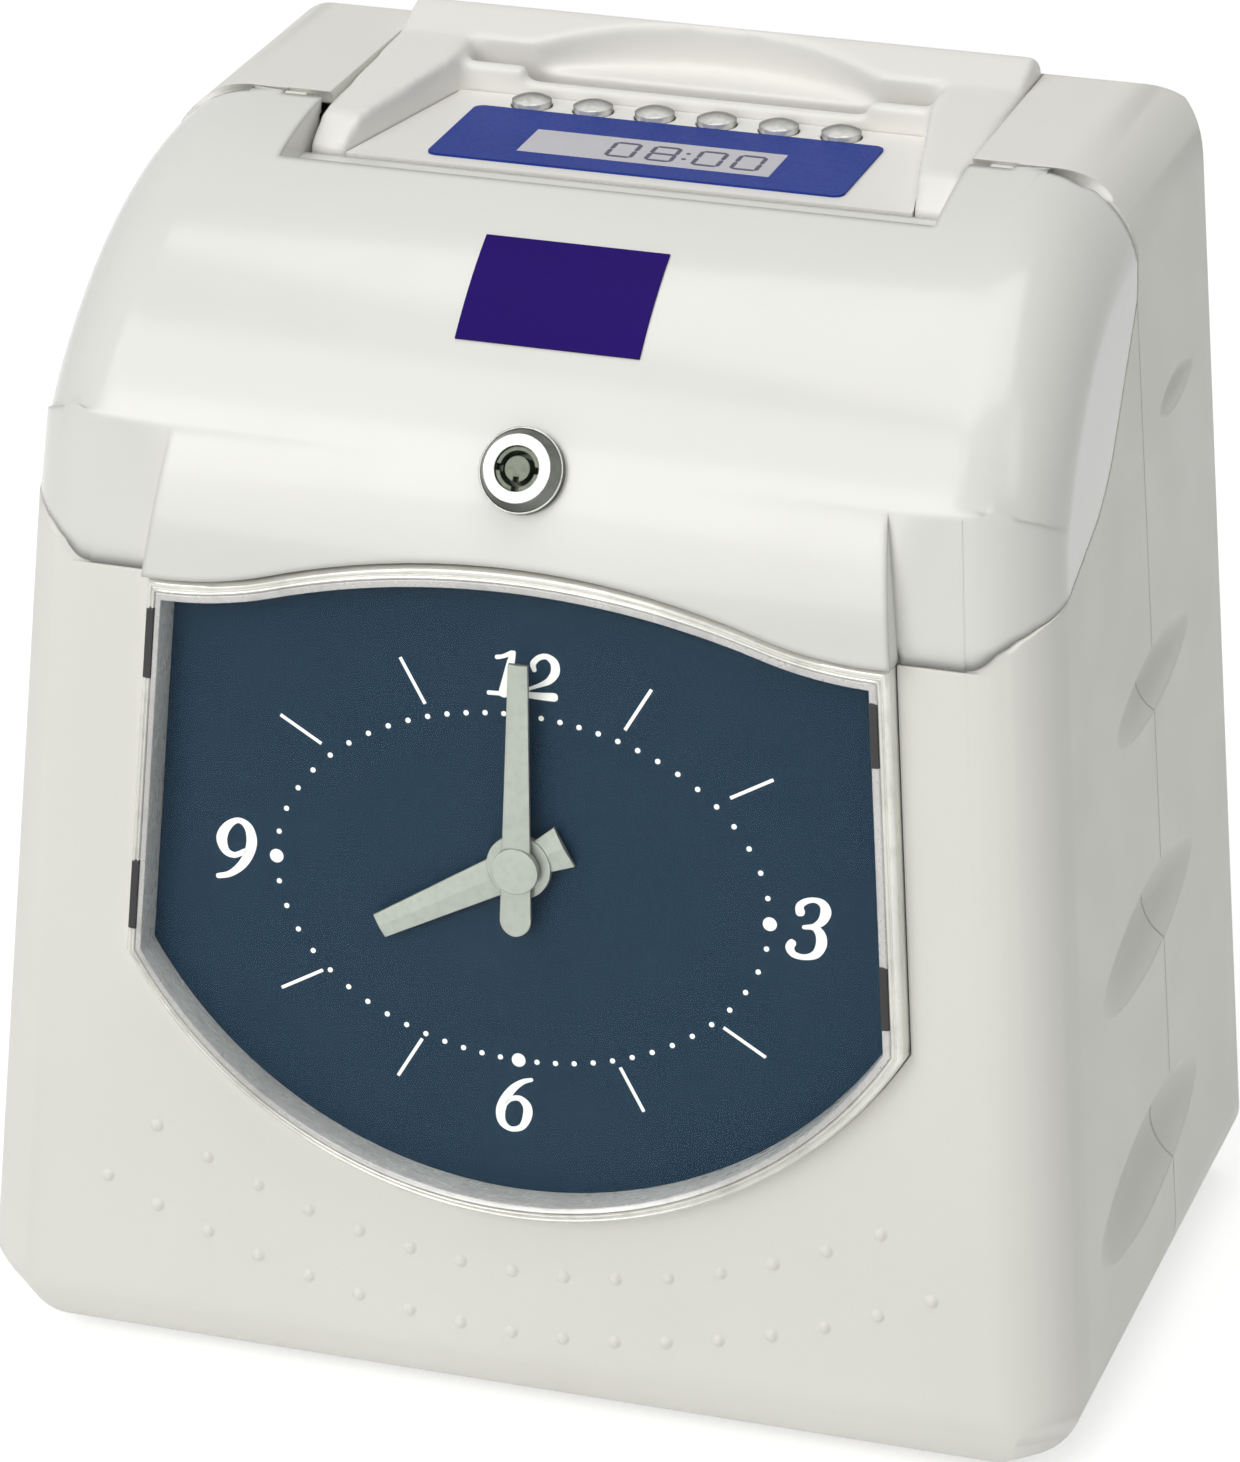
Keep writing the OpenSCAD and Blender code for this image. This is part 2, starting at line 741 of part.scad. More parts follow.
// Movement: housing, arbors and the hand train
move_half = [27, 20];
module movement_case() {
    color(resin_black) on_front() translate([0, arbor_s]) difference() {
        slab(move_back, frame_back) rounded_box(move_half[0], move_half[1], 4);
        slab(move_back + move_wall, frame_back - move_wall)
            rounded_box(move_half[0] - move_wall, move_half[1] - move_wall, 3);
        rod(2 * (pipe_r + run_fit), frame_back - 2, 0);
        rod(2 * (arbor_r + run_fit), move_back - 1, frame_back);
        translate([motion_c, 0]) rod(1.6 + 2 * run_fit, frame_back - move_wall - 1, frame_back - 0.5);
        translate([-rotor_c, 0]) rod(1.2 + 2 * run_fit, move_back + 0.5, frame_back - 0.5);
    }
}
wheel_h = move_back + move_wall + 0.6;
module minute_arbor() {
    color(brass_tone) on_front() translate([0, arbor_s]) {
        rod(2 * arbor_r, move_back + 0.2, minute_hand_h + hand_t);
        slab(wheel_h, wheel_h + 1.2) gear(48, gear_m);
        slab(wheel_h + 5.6, wheel_h + 7.2) rotate(180 / 10) gear(10, gear_m);
    }
}
module minute_wheel() {
    color(gear_white) on_front() translate([motion_c, arbor_s]) {
        rod(1.6, wheel_h + 2, frame_back - 0.7);
        slab(wheel_h + 5.8, wheel_h + 7) gear(30, gear_m);
        slab(wheel_h + 6.9, wheel_h + 10) gear(8, gear_m);
    }
}
module hour_wheel() {
    color(gear_white) on_front() translate([0, arbor_s]) difference() {
        union() {
            rod(2 * pipe_r, wheel_h + 8.4, hour_hand_h + hand_t);
            slab(wheel_h + 8.4, wheel_h + 9.6) rotate(180 / 32) gear(32, gear_m);
        }
        rod(2 * (arbor_r + run_fit), wheel_h, 0);
    }
}
module step_rotor() {
    color(zinc) on_front() translate([-rotor_c, arbor_s]) {
        rod(1.2, move_back + 0.7, frame_back - 0.7);
        slab(wheel_h - 0.1, wheel_h + 1.5) rotate(180 / 8) gear(8, gear_m);
        rod(7, wheel_h + 2.2, wheel_h + 8);
    }
}

// Ridged hands: a roof-shaped bar trimmed to a flat outline
module hand_roof(reach, tail, w) {
    rotate([-90, 0, 0]) translate([0, 0, -tail]) linear_extrude(reach + tail)
        polygon([[-w / 2, 0], [w / 2, 0], [w / 2, -hand_t / 2], [0, -hand_t], [-w / 2, -hand_t / 2]]);
}
minute_w = [3.6, 5.2, 5.8];
minute_tail = 12.6;
hour_w = [4.6, 7, 6, 8];
hour_tail = 9.6;
module minute_hand() {
    color(steel) on_front() translate([0, arbor_s, minute_hand_h]) difference() {
        union() {
            intersection() {
                hand_roof(minute_len, minute_tail, minute_w[2] + 0.4);
                slab(-1, 2) {
                    polygon([[-minute_w[0] / 2, minute_len], [minute_w[0] / 2, minute_len],
                        [minute_w[1] / 2, 4],
                        [minute_w[2] / 2, minute_w[2] / 2 - minute_tail], [-minute_w[2] / 2,
                            minute_w[2] / 2 - minute_tail],
                        [-minute_w[1] / 2, 4]]);
                    translate([0, minute_w[2] / 2 - minute_tail]) circle(d = minute_w[2]);
                }
            }
            rod(8.6, 0, hand_t + 0.3);
        }
        rod(2 * arbor_r, -1, hand_t);
    }
}
module hour_hand() {
    color(steel) on_front() translate([0, arbor_s, hour_hand_h]) rotate(120) difference() {
        union() {
            intersection() {
                hand_roof(hour_len, hour_tail, hour_w[3] + 0.4);
                slab(-1, 2) polygon([[-hour_w[0] / 2, hour_len], [hour_w[0] / 2, hour_len],
                    [hour_w[1] / 2, 5],
                    [hour_w[2] / 2, -4], [hour_w[3] / 2, -hour_tail], [-hour_w[3] / 2, -hour_tail],
                    [-hour_w[2] / 2, -4], [-hour_w[1] / 2, 5]]);
            }
            rod(12, 0, hand_t + 0.2);
        }
        rod(2 * pipe_r, -1, hand_t + 1);
    }
}

// Tubular lock
module lock_body() {
    color(steel) on_lock() difference() {
        union() {
            rod(lock_d, -lock_len, 0.2);
            rod(lock_flange_d, 0.15, 1.6);
            translate([0, 0, 1.6]) cylinder(d1 = lock_flange_d - 0.6, d2 = lock_d + 0.3,
                h = lock_proud - 1.6);
        }
        rod(lock_core_d + 2 * run_fit, -lock_len - 1, lock_proud + 1);
    }
}
module lock_nut() {
    color(zinc) on_lock() difference() {
        translate([0, 0, -wall - 3.4]) cylinder(d = lock_d + 6, h = 2.6, $fn = 6);
        rod(lock_d, -wall - 9, 0);
    }
}
module lock_plug() {
    color(steel) on_lock() difference() {
        rod(lock_core_d, -lock_len - cam_t - 0.4, lock_proud - 0.5);
        difference() {
            rod(6.4, lock_proud - 5, lock_proud);
            rod(4.6, lock_proud - 6, lock_proud);
        }
        for (a = [0, 180, 270]) rotate(a) box([2.8, 4.5], [-0.6, 0.6], [lock_proud - 2.5, lock_proud]);
        box([-0.5, 0.5], [-2.6, -1.4], [lock_proud - 2.5, lock_proud]);
        rod(2.5, -lock_len - cam_t - 2, -lock_len);
    }
}
module lock_cam() {
    color(zinc) on_lock() translate([0, 0, -lock_len - cam_t - 0.2]) difference() {
        union() {
            rod(lock_core_d + 5, 0, cam_t);
            box([0, cam_len], [-3.5, 3.5], [0, cam_t]);
        }
        rod(lock_core_d, -1, cam_t + 1);
    }
}

// Bare plate on the hood
badge_w = 34;
badge_l = 22;
notch_tilt = acos((hood_cy - notch_front) / hood_r);
badge_tilt = (lock_tilt + asin(lock_flange_d / 2 / hood_r) + notch_tilt) / 2;
badge_t = 0.4;
module badge_plate() {
    color(label_blue) translate([0, hood_cy, hood_cz]) rotate([90 - badge_tilt, 0, 0]) intersection() {
        translate([-badge_w / 2, -badge_l / 2, hood_r - 5]) cube([badge_w, badge_l, 10]);
        rotate([0, 90, 0]) difference() {
            cylinder(r = hood_r + badge_t, h = 2 * badge_w, center = true, $fn = 180);
            cylinder(r = hood_r + 0.03, h = 3 * badge_w, center = true, $fn = 180);
        }
    }
}

// Card guide: tray, arms, back wall, lips, slot and finger scoop
scoop_half = 33;
scoop_deep = 9;
scoop_r = (pow(scoop_half, 2) + pow(scoop_deep, 2)) / (2 * scoop_deep);
scoop_z = case_h - 4.5;
lip_z = case_h - 1.6;
board_posts = [[40, lcd_y[0] - 2.5], [40, key_y + 0.8]];
module card_guide() {
    back_y = slot_y + card_slot_d / 2;
    color(guide_white) difference() {
        union() {
            box([-guide_w / 2, guide_w / 2], [guide_front, guide_back], [tray_z, tray_top]);
            along_x(-guide_w / 2, guide_w / 2) rounded_area(
                [[back_y, tray_z], [guide_back, tray_z], [guide_back, guide_top - 3],
                 [guide_back - 5, guide_top], [back_y, guide_top - 3.5]], [0, 0, 3, 3, 0]);
            both_sides() guide_arm();
            box([-guide_w / 2 + 9, guide_w / 2 - 9], [lip_front, back_y], [tray_z, lip_z]);
            both_sides() for (p = board_posts) translate([p[0], p[1], board_z + board_t])
                cylinder(d = 5, h = tray_z - board_z - board_t);
        }
        box([-card_slot_w / 2, card_slot_w / 2], [slot_y - card_slot_d / 2, back_y], [tray_z - 9,
            guide_top + 9]);
        intersection() {
            translate([0, back_y + scoop_deep - scoop_r, scoop_z]) cylinder(r = scoop_r, h = 30,
                $fn = 180);
            box([-scoop_half, scoop_half], [lip_front - 1, guide_back], [scoop_z - 1, guide_top + 9]);
        }
        box([-lcd_half - 1.4, lcd_half + 1.4], [lcd_y[0] - 1.3, lcd_y[1] + 1.3], [tray_z - 1,
            tray_top + 1]);
        for (i = [0 : 5]) translate([(i - 2.5) * key_pitch, key_y, tray_z - 1]) cylinder(d = 4.2,
            h = tray_t + 2);
        both_sides() for (p = board_posts) translate([p[0], p[1], board_z]) cylinder(d = 2, h = 4);
    }
}
module guide_arm() {
    back_y = slot_y + card_slot_d / 2;
    difference() {
        along_x(card_slot_w / 2 - 2, guide_w / 2) rounded_area(
            [[guide_front, tray_z], [back_y + 3, tray_z], [back_y + 3, guide_top - 3.5],
             [guide_front + 7, case_h - 1.4], [guide_front, panel_z + 1]], [0, 0, 0, 3, 1]);
        translate([0, 0, tray_top]) linear_extrude(30) polygon([[0, guide_front - 1], [arm_foot_x,
            guide_front - 1],
            [arm_foot_x, guide_front + 1], [arm_tail_x, lip_front - 2], [arm_tail_x, back_y], [0,
                back_y]]);
    }
}

module keypad_panel() {
    gap = set_fit;
    color(guide_white) difference() {
        translate([0, 0, tray_top]) linear_extrude(panel_t) polygon([
            [-arm_foot_x + gap, guide_front], [arm_foot_x - gap, guide_front], [arm_foot_x - gap,
                guide_front + 1],
            [arm_tail_x - gap, lip_front - 2], [arm_tail_x - gap, lip_front - gap], [-arm_tail_x + gap,
                lip_front - gap],
            [-arm_tail_x + gap, lip_front - 2], [-arm_foot_x + gap, guide_front + 1]]);
        box([-lcd_half - 1, lcd_half + 1], [lcd_y[0] - 0.9, lcd_y[1] + 0.9], [tray_top - 1, panel_z + 1]);
        for (i = [0 : 5]) translate([(i - 2.5) * key_pitch, key_y, tray_top - 1])
            cylinder(d = key_d + 2 * set_fit, h = panel_t + 2);
    }
}
label_t = 0.4;
module display_label() {
    color(label_blue) difference() {
        translate([0, (label_y[0] + label_y[1]) / 2, panel_z]) linear_extrude(label_t)
            rounded_box(label_half, (label_y[1] - label_y[0]) / 2, 2);
        box([-lcd_half, lcd_half], [lcd_y[0], lcd_y[1]], [panel_z - 1, panel_z + 2]);
    }
}
module lcd_module() {
    color([0.74, 0.72, 0.80]) {
        box([-lcd_half - 0.7, lcd_half + 0.7], [lcd_y[0] - 0.6, lcd_y[1] + 0.6], [board_z + board_t,
            panel_z]);
    }
}
module keypad_board() {
    color(board_green) difference() {
        union() {
            box([-44, 44], [lcd_y[0] - 5.5, key_y + 4.5], [board_z, board_z + board_t]);
            for (i = [0 : 5]) translate([(i - 2.5) * key_pitch, key_y, board_z + board_t]) {
                translate([-3, -3, 0]) cube([6, 6, switch_h - 0.6]);
                cylinder(d = 3.4, h = switch_h);
            }
        }
        both_sides() for (p = board_posts) translate([p[0], p[1], board_z - 1]) cylinder(d = 2.2, h = 4);
    }
}

// Domed key on a stem
module key(i) {
    top = panel_z + 2.2;
    stem_z = board_z + board_t + switch_h + key_travel + 0.2;
    dome_r = 7;
    color([0.85, 0.85, 0.86]) translate([(i - 3.5) * key_pitch, key_y, 0]) {
        translate([0, 0, stem_z]) cylinder(d = 3.4, h = tray_top + 2 - stem_z);
        intersection() {
            translate([0, 0, tray_top + key_travel + 0.4]) cylinder(d = key_d, h = top);
            translate([0, 0, top - dome_r]) sphere(dome_r);
        }
    }
}
module button_1() key(1);
module button_2() key(2);
module button_3() key(3);
module button_4() key(4);
module button_5() key(5);
module button_6() key(6);

// Bent sheet frame of the card mechanism
module chassis() {
    color(zinc) difference() {
        union() {
            both_sides() box([frame_x - sheet, frame_x], chassis_y, [base_z, tray_z]);
            box([-frame_x, frame_x], chassis_y, [base_z, base_z + sheet]);
            both_sides() box([frame_x - 9, frame_x], [guide_front, guide_front + 30], [tray_z - sheet,
                tray_z]);
        }
        both_sides() rod_x(shaft_d + 2 * run_fit, frame_x - 5, frame_x + 5, feed_y, feed_z);
        both_sides() rod_x(pinch_shaft_d + 2 * run_fit, frame_x - 5, frame_x + 5, pinch_y, feed_z);
        both_sides() for (k = [-1, 1]) rod_x(rail_d, frame_x - 5, frame_x + 5, rail_y,
            print_z + k * rail_gap / 2);
        both_sides() for (p = base_posts) translate([p[0], p[1],
            base_z - 1]) cylinder(d = base_screw_d + 0.4, h = 5);
        along_x(-far, far) rounded_area([[chassis_y[0] + 14, base_z + 22], [chassis_y[1] - 14,
            base_z + 22],
            [chassis_y[1] - 14, print_z - 26], [chassis_y[0] + 14, print_z - 26]], [10, 10, 10, 10]);
        along_x(-far, far) polygon([[chassis_y[0] - 1, tray_z + 9], [chassis_y[0] - 1, print_z - 10],
            [guide_front, print_z + 14], [guide_front, tray_z + 9]]);
        rod_x(3.4, frame_x - 5, frame_x + 5, motor_y, feed_z);
    }
}
module chassis_screws() {
    color(zinc) both_sides() for (p = base_posts) translate([p[0], p[1], 0]) {
        rod(base_screw_d, foot_h + wall + 0.4, base_z + sheet);
        rod(6, base_z + sheet, base_z + sheet + 2.2);
    }
}

// Card channel: two plates with windows for rollers and print head
roll_x = 26;
roll_w = 12;
chute_half = card_slot_w / 2 + 8;
module chute_plate(y0, side) {
    z1 = tray_z - 0.2;
    difference() {
        union() {
            box([-chute_half, chute_half], [y0, y0 + sheet], [chute_low, z1]);
            both_sides() box([chute_half - sheet, frame_x - sheet], [y0, y0 + sheet], [print_z - 40,
                print_z - 28]);
        }
        both_sides() box([roll_x - roll_w / 2 - 1.5, roll_x + roll_w / 2 + 1.5], [y0 - 1, y0 + sheet + 1],
            [feed_z - 9.5, feed_z + 9.5]);
        if (side < 0) box([-42, 42], [y0 - 1, y0 + sheet + 1], [print_z - 6, print_z + 6]);
    }
}
module chute_front() {
    color(zinc) chute_plate(slot_y - card_slot_d / 2 - sheet, -1);
}
module chute_rear() {
    color(zinc) {
        chute_plate(slot_y + card_slot_d / 2, 1);
        box([-chute_half, chute_half], [slot_y - card_slot_d / 2, slot_y + card_slot_d / 2],
            [chute_low, chute_low + sheet]);
    }
}

// Card feed
gear_x = frame_x + 4;
motor_y = feed_y - motor_c;
motor_x = frame_x - sheet;
motor_d = 24;
module feed_roller() {
    color(rubber_black) {
        rod_x(shaft_d, -frame_x - 2, gear_x + 5, feed_y, feed_z);
        both_sides() rod_x(feed_d, roll_x - roll_w / 2, roll_x + roll_w / 2, feed_y, feed_z);
        translate([gear_x, feed_y, feed_z]) rotate([90, 0, 90]) linear_extrude(4) gear(feed_teeth,
            feed_m);
    }
}
module pinch_roller() {
    color(rubber_black) {
        rod_x(pinch_shaft_d, -frame_x - 2, frame_x + 2, pinch_y, feed_z);
        both_sides() rod_x(pinch_d, roll_x - roll_w / 2, roll_x + roll_w / 2, pinch_y, feed_z);
    }
}
module feed_motor() {
    color(zinc) difference() {
        rod_x(motor_d, motor_x - 22, motor_x, motor_y, feed_z);
        rod_x(2 + 2 * run_fit, motor_x - 9, motor_x + 1, motor_y, feed_z);
    }
}
module motor_pinion() {
    color(brass_tone) {
        rod_x(2, motor_x - 8, gear_x + 4, motor_y, feed_z);
        translate([gear_x - 0.5, motor_y, feed_z]) rotate([90, 0, 90]) linear_extrude(5)
            rotate(180 / motor_teeth) gear(motor_teeth, feed_m);
    }
}

// Printing unit on two rails
rack_y = rail_y - 9;
pinion_y = rack_y - rack_r;
module guide_shafts() {
    color(steel) for (k = [-1, 1]) rod_x(rail_d, -frame_x, frame_x, rail_y, print_z + k * rail_gap / 2);
}
module print_carriage() {
    rack_half = carriage_w / 2 + carriage_travel;
    color(resin_black) difference() {
        union() {
            box([-carriage_w / 2, carriage_w / 2], [rail_y - 6, rail_y + 6], [print_z - 13,
                print_z + 13]);
            box([-rack_half, rack_half], [rack_y + rack_m, rail_y - 5], [print_z - 13, print_z - 9]);
            translate([0, 0, print_z - 13]) linear_extrude(4) rack_teeth_row(rack_half);
        }
        for (k = [-1, 1]) rod_x(rail_d + 2 * run_fit, -far, far, rail_y, print_z + k * rail_gap / 2);
    }
}
module rack_teeth_row(half) {
    p = PI * rack_m;
    count = floor(half / p);
    for (i = [-count : count - 1]) translate([(i + 0.5) * p, rack_y])
        polygon([[-0.26 * p, rack_m + 0.2], [-0.26 * p, rack_m], [-0.12 * p, -0.75 * rack_m],
            [0.12 * p, -0.75 * rack_m], [0.26 * p, rack_m], [0.26 * p, rack_m + 0.2]]);
}
module print_head() {
    color(zinc) {
        box([-11, 11], [rail_y + 6, rail_y + 13], [print_z - 9, print_z + 9]);
        box([-6, 6], [rail_y + 13, slot_y - card_slot_d / 2 - 3.5], [print_z - 4.5, print_z + 4.5]);
    }
}
module carriage_motor() {
    z0 = print_z - 20;
    color(zinc) difference() {
        union() {
            translate([0, pinion_y, z0 - 16]) cylinder(d = 22, h = 16);
            box([-frame_x + sheet, frame_x - sheet], [pinion_y - 7, pinion_y + 7], [z0, z0 + sheet]);
        }
        translate([0, pinion_y, z0 - 8]) cylinder(d = 2 + 2 * run_fit, h = 20);
    }
}
module carriage_pinion() {
    z0 = print_z - 20;
    color(brass_tone) translate([0, pinion_y, 0]) {
        rod(2, z0 - 7, print_z - 8);
        translate([0, 0, print_z - 13.5]) linear_extrude(5) rotate(90) gear(rack_teeth, rack_m);
    }
}

// Inked ribbon cartridge, lifted out under the open hood
ribbon_y = [slot_y - 72, slot_y - 44];
ribbon_half = 54;
ribbon_z = [print_z - 9, print_z + 9];
ribbon_arm_w = 6;
knob_x = 30;
module ribbon_cartridge() {
    arm_end = slot_y - card_slot_d / 2 - sheet - 0.6;
    color(resin_black) difference() {
        union() {
            box([-ribbon_half, ribbon_half], ribbon_y, ribbon_z);
            both_sides() box([ribbon_half - ribbon_arm_w, ribbon_half], [ribbon_y[1] - 1, arm_end],
                [print_z - 5, print_z + 5]);
            box([1 - ribbon_half, ribbon_half - 1], [arm_end - 0.6, arm_end - 0.2], [print_z - 4,
                print_z + 4]);
        }
        translate([knob_x, (ribbon_y[0] + ribbon_y[1]) / 2,
            ribbon_z[1] - 6]) cylinder(d = 4 + 2 * run_fit, h = 9);
    }
}
module ribbon_knob() {
    color(gear_white) translate([knob_x, (ribbon_y[0] + ribbon_y[1]) / 2, 0]) {
        rod(4, ribbon_z[1] - 5.6, ribbon_z[1] + 1);
        difference() {
            rod(14, ribbon_z[1] + 0.3, ribbon_z[1] + 5);
            for (a = [0 : 30 : 330]) rotate(a) translate([7.6, 0]) rod(2.4, ribbon_z[1], ribbon_z[1] + 9);
        }
    }
}

// Electrics: the main board stands on the outside of the sheet frame
board_stand = 5;
board_x = -frame_x - board_stand - board_t;
main_z = [base_z + 43, print_z - 26];
main_y = [chassis_y[0] + 6, chassis_y[1] - 6];
module main_board() {
    color(board_green) {
        box([board_x, board_x + board_t], main_y, main_z);
        box([board_x - 8, board_x], [main_y[0] + 40, main_y[0] + 64], [main_z[1] - 38, main_z[1] - 14]);
        box([board_x - 3, board_x], [main_y[0] + 10, main_y[0] + 30], [main_z[1] - 46, main_z[1] - 18]);
        for (y = [12, 26]) rod_x(10, board_x - 13, board_x, main_y[0] + y, main_z[0] + 22);
        for (y = main_y) for (z = main_z) {
            dy = y == main_y[0] ? 4 : -4;
            dz = z == main_z[0] ? 4 : -4;
            rod_x(6, board_x + board_t, -frame_x, y + dy, z + dz);
        }
    }
}
module transformer() {
    y0 = chassis_y[0] + 26;
    color(copper_tone) {
        box([-46, -4], [y0 + 6, y0 + 34], [base_z + sheet, base_z + sheet + 42]);
        box([-52, 2], [y0 + 12, y0 + 28], [base_z + sheet, base_z + sheet + 48]);
    }
}
module battery_pack() {
    y0 = chassis_y[0] + 26;
    color(label_blue) {
        for (i = [0 : 2]) rod_x(14, 10, 56, y0 + 8 + i * 14.2, base_z + sheet + 8.2);
        box([10, 56], [y0 + 1, y0 + 43], [base_z + sheet, base_z + sheet + 2]);
    }
}
module buzzer() {
    color(resin_black) difference() {
        rod_x(12, board_x - 8, board_x, main_y[1] - 14, main_z[0] + 16);
        rod_x(2, board_x - 9, board_x - 5, main_y[1] - 14, main_z[0] + 16);
    }
}
module power_inlet() {
    face = rear_y;
    color(resin_black) difference() {
        union() {
            box([inlet_x - inlet_w / 2, inlet_x + inlet_w / 2], [face - 22, face - 0.6],
                [inlet_z - inlet_h / 2, inlet_z + inlet_h / 2]);
            box([inlet_x - inlet_w / 2 - 2, inlet_x + inlet_w / 2 + 2], [face - wall - 2.4,
                face - wall - 0.1],
                [inlet_z - inlet_h / 2 - 2, inlet_z + inlet_h / 2 + 2]);
        }
        box([inlet_x - inlet_w / 2 + 2.5, inlet_x + inlet_w / 2 - 2.5], [face - 17, face + 1],
            [inlet_z - inlet_h / 2 + 2.5, inlet_z + inlet_h / 2 - 2.5]);
    }
}

// Feet and fasteners
module rubber_feet() {
    color(rubber_black) both_sides() for (p = foot_spots) translate([p[0], p[1], 0]) {
        cylinder(d1 = foot_d - 2, d2 = foot_d - 0.6, h = foot_h);
        translate([0, 0, foot_h - 0.01]) cylinder(d = foot_d - 0.6, h = foot_seat + 0.01);
    }
}
module case_screws() {
    color(zinc) both_sides() for (p = post_spots) {
        rod_y(screw_d, split_y - post_len + 3, screw_head_y + 0.1, p[0], p[1]);
        rod_y(6, screw_head_y, screw_head_y + 2.4, p[0], p[1]);
    }
}

front_case();
rear_case();
hood();
hinge_pins();
window_lens();
lens_clips();
dial_plate();
dial_frame();
frame_screws();
movement_case();
minute_hand();
minute_arbor();
hour_hand();
hour_wheel();
minute_wheel();
step_rotor();
lock_body();
lock_nut();
lock_plug();
lock_cam();
badge_plate();
card_guide();
keypad_panel();
display_label();
lcd_module();
keypad_board();
button_1();
button_2();
button_3();
button_4();
button_5();
button_6();
chassis();
chute_front();
chute_rear();
feed_roller();
pinch_roller();
feed_motor();
motor_pinion();
guide_shafts();
print_carriage();
print_head();
carriage_motor();
carriage_pinion();
ribbon_cartridge();
ribbon_knob();
main_board();
transformer();
battery_pack();
buzzer();
power_inlet();
rubber_feet();
case_screws();
chassis_screws();
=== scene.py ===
import json
import math

import bmesh
import bpy
from mathutils import Matrix, Vector

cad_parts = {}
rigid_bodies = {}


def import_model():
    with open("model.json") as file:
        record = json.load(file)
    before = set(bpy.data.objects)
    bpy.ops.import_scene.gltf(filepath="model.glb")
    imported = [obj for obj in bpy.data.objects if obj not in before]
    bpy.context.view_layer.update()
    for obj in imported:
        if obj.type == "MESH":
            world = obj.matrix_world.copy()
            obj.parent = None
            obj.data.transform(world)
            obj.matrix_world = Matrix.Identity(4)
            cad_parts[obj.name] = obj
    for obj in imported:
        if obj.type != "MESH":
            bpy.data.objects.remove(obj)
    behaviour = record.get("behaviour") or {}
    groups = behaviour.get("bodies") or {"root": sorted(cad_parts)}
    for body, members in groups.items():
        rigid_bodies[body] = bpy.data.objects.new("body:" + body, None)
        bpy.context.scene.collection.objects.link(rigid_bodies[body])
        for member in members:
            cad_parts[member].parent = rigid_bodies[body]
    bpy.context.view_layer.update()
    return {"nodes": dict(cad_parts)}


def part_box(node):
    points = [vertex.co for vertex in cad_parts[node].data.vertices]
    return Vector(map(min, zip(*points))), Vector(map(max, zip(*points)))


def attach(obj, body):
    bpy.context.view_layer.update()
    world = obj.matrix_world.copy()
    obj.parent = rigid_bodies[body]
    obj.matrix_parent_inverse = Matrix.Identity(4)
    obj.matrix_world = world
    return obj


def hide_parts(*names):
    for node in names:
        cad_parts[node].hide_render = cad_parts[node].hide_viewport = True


for old in list(bpy.data.objects):
    bpy.data.objects.remove(old)
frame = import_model()
nodes = frame["nodes"]
bpy.ops.object.select_all(action="DESELECT")

MM = 0.001


# Shader building

class Value:
    """A shader socket that takes plain arithmetic."""

    def __init__(self, tree, socket):
        self.tree = tree
        self.socket = socket

    def math(self, kind, *others):
        node = self.tree.nodes.new("ShaderNodeMath")
        node.operation = kind
        for place, item in zip(node.inputs, (self,) + others):
            feed(self.tree, place, item)
        return Value(self.tree, node.outputs[0])

    def __add__(self, other):
        return self.math("ADD", other)

    __radd__ = __add__

    def __mul__(self, other):
        return self.math("MULTIPLY", other)

    __rmul__ = __mul__

    def __sub__(self, other):
        return self.math("SUBTRACT", other)

    def __rsub__(self, other):
        return self * -1 + other

    def above(self, other):
        return self.math("GREATER_THAN", other)

    def absolute(self):
        return self.math("ABSOLUTE")

    def wrap(self, span):
        return self.math("FLOORED_MODULO", span)


def feed(tree, place, item):
    if isinstance(item, Value):
        tree.links.new(item.socket, place)
    elif isinstance(item, tuple) and len(item) == 3 and place.type == "RGBA":
        place.default_value = item + (1.0,)
    else:
        place.default_value = item


class Finish:
    """One procedural material on a Principled shader."""

    def __init__(self, name):
        self.material = bpy.data.materials.new(name)
        self.material.use_nodes = True
        self.tree = self.material.node_tree
        self.shader = self.tree.nodes["Principled BSDF"]

    def node(self, kind, settings=None, values=None, out=0):
        node = self.tree.nodes.new(kind)
        for key, item in (settings or {}).items():
            setattr(node, key, item)
        for key, item in (values or {}).items():
            feed(self.tree, node.inputs[key], item)
        return Value(self.tree, node.outputs[out])

    def set(self, values):
        for key, item in values.items():
            feed(self.tree, self.shader.inputs[key], item)
        return self

    def point(self):
        return self.node("ShaderNodeTexCoord", out=3)

    def along(self, axis):
        return self.node("ShaderNodeSeparateXYZ", None, {"Vector": self.point()}, axis)

    def stretched(self, scale, turn=(0.0, 0.0, 0.0)):
        return self.node("ShaderNodeMapping", None,
                         {"Vector": self.point(), "Scale": scale, "Rotation": turn})

    def noise(self, scale, detail=2.0, rough=0.5, vector=None):
        return self.node("ShaderNodeTexNoise", None,
                         {"Vector": vector or self.point(), "Scale": scale,
                          "Detail": detail, "Roughness": rough})

    def cells(self, scale):
        return self.node("ShaderNodeTexVoronoi", None,
                         {"Vector": self.point(), "Scale": scale})

    def ramp(self, value, low, high, first=0.0, last=1.0):
        return self.node("ShaderNodeMapRange", {"clamp": True},
                         {"Value": value, "From Min": low, "From Max": high,
                          "To Min": first, "To Max": last})

    def blend(self, factor, first, second):
        return self.node("ShaderNodeMix", {"data_type": "RGBA"},
                         {0: factor, 6: first, 7: second}, 2)

    def bevel(self, radius):
        return self.node("ShaderNodeBevel", {"samples": 6}, {"Radius": radius})

    def bump(self, height, strength, distance, normal=None):
        values = {"Height": height, "Strength": strength, "Distance": distance}
        if normal is not None:
            values["Normal"] = normal
        return self.node("ShaderNodeBump", None, values)


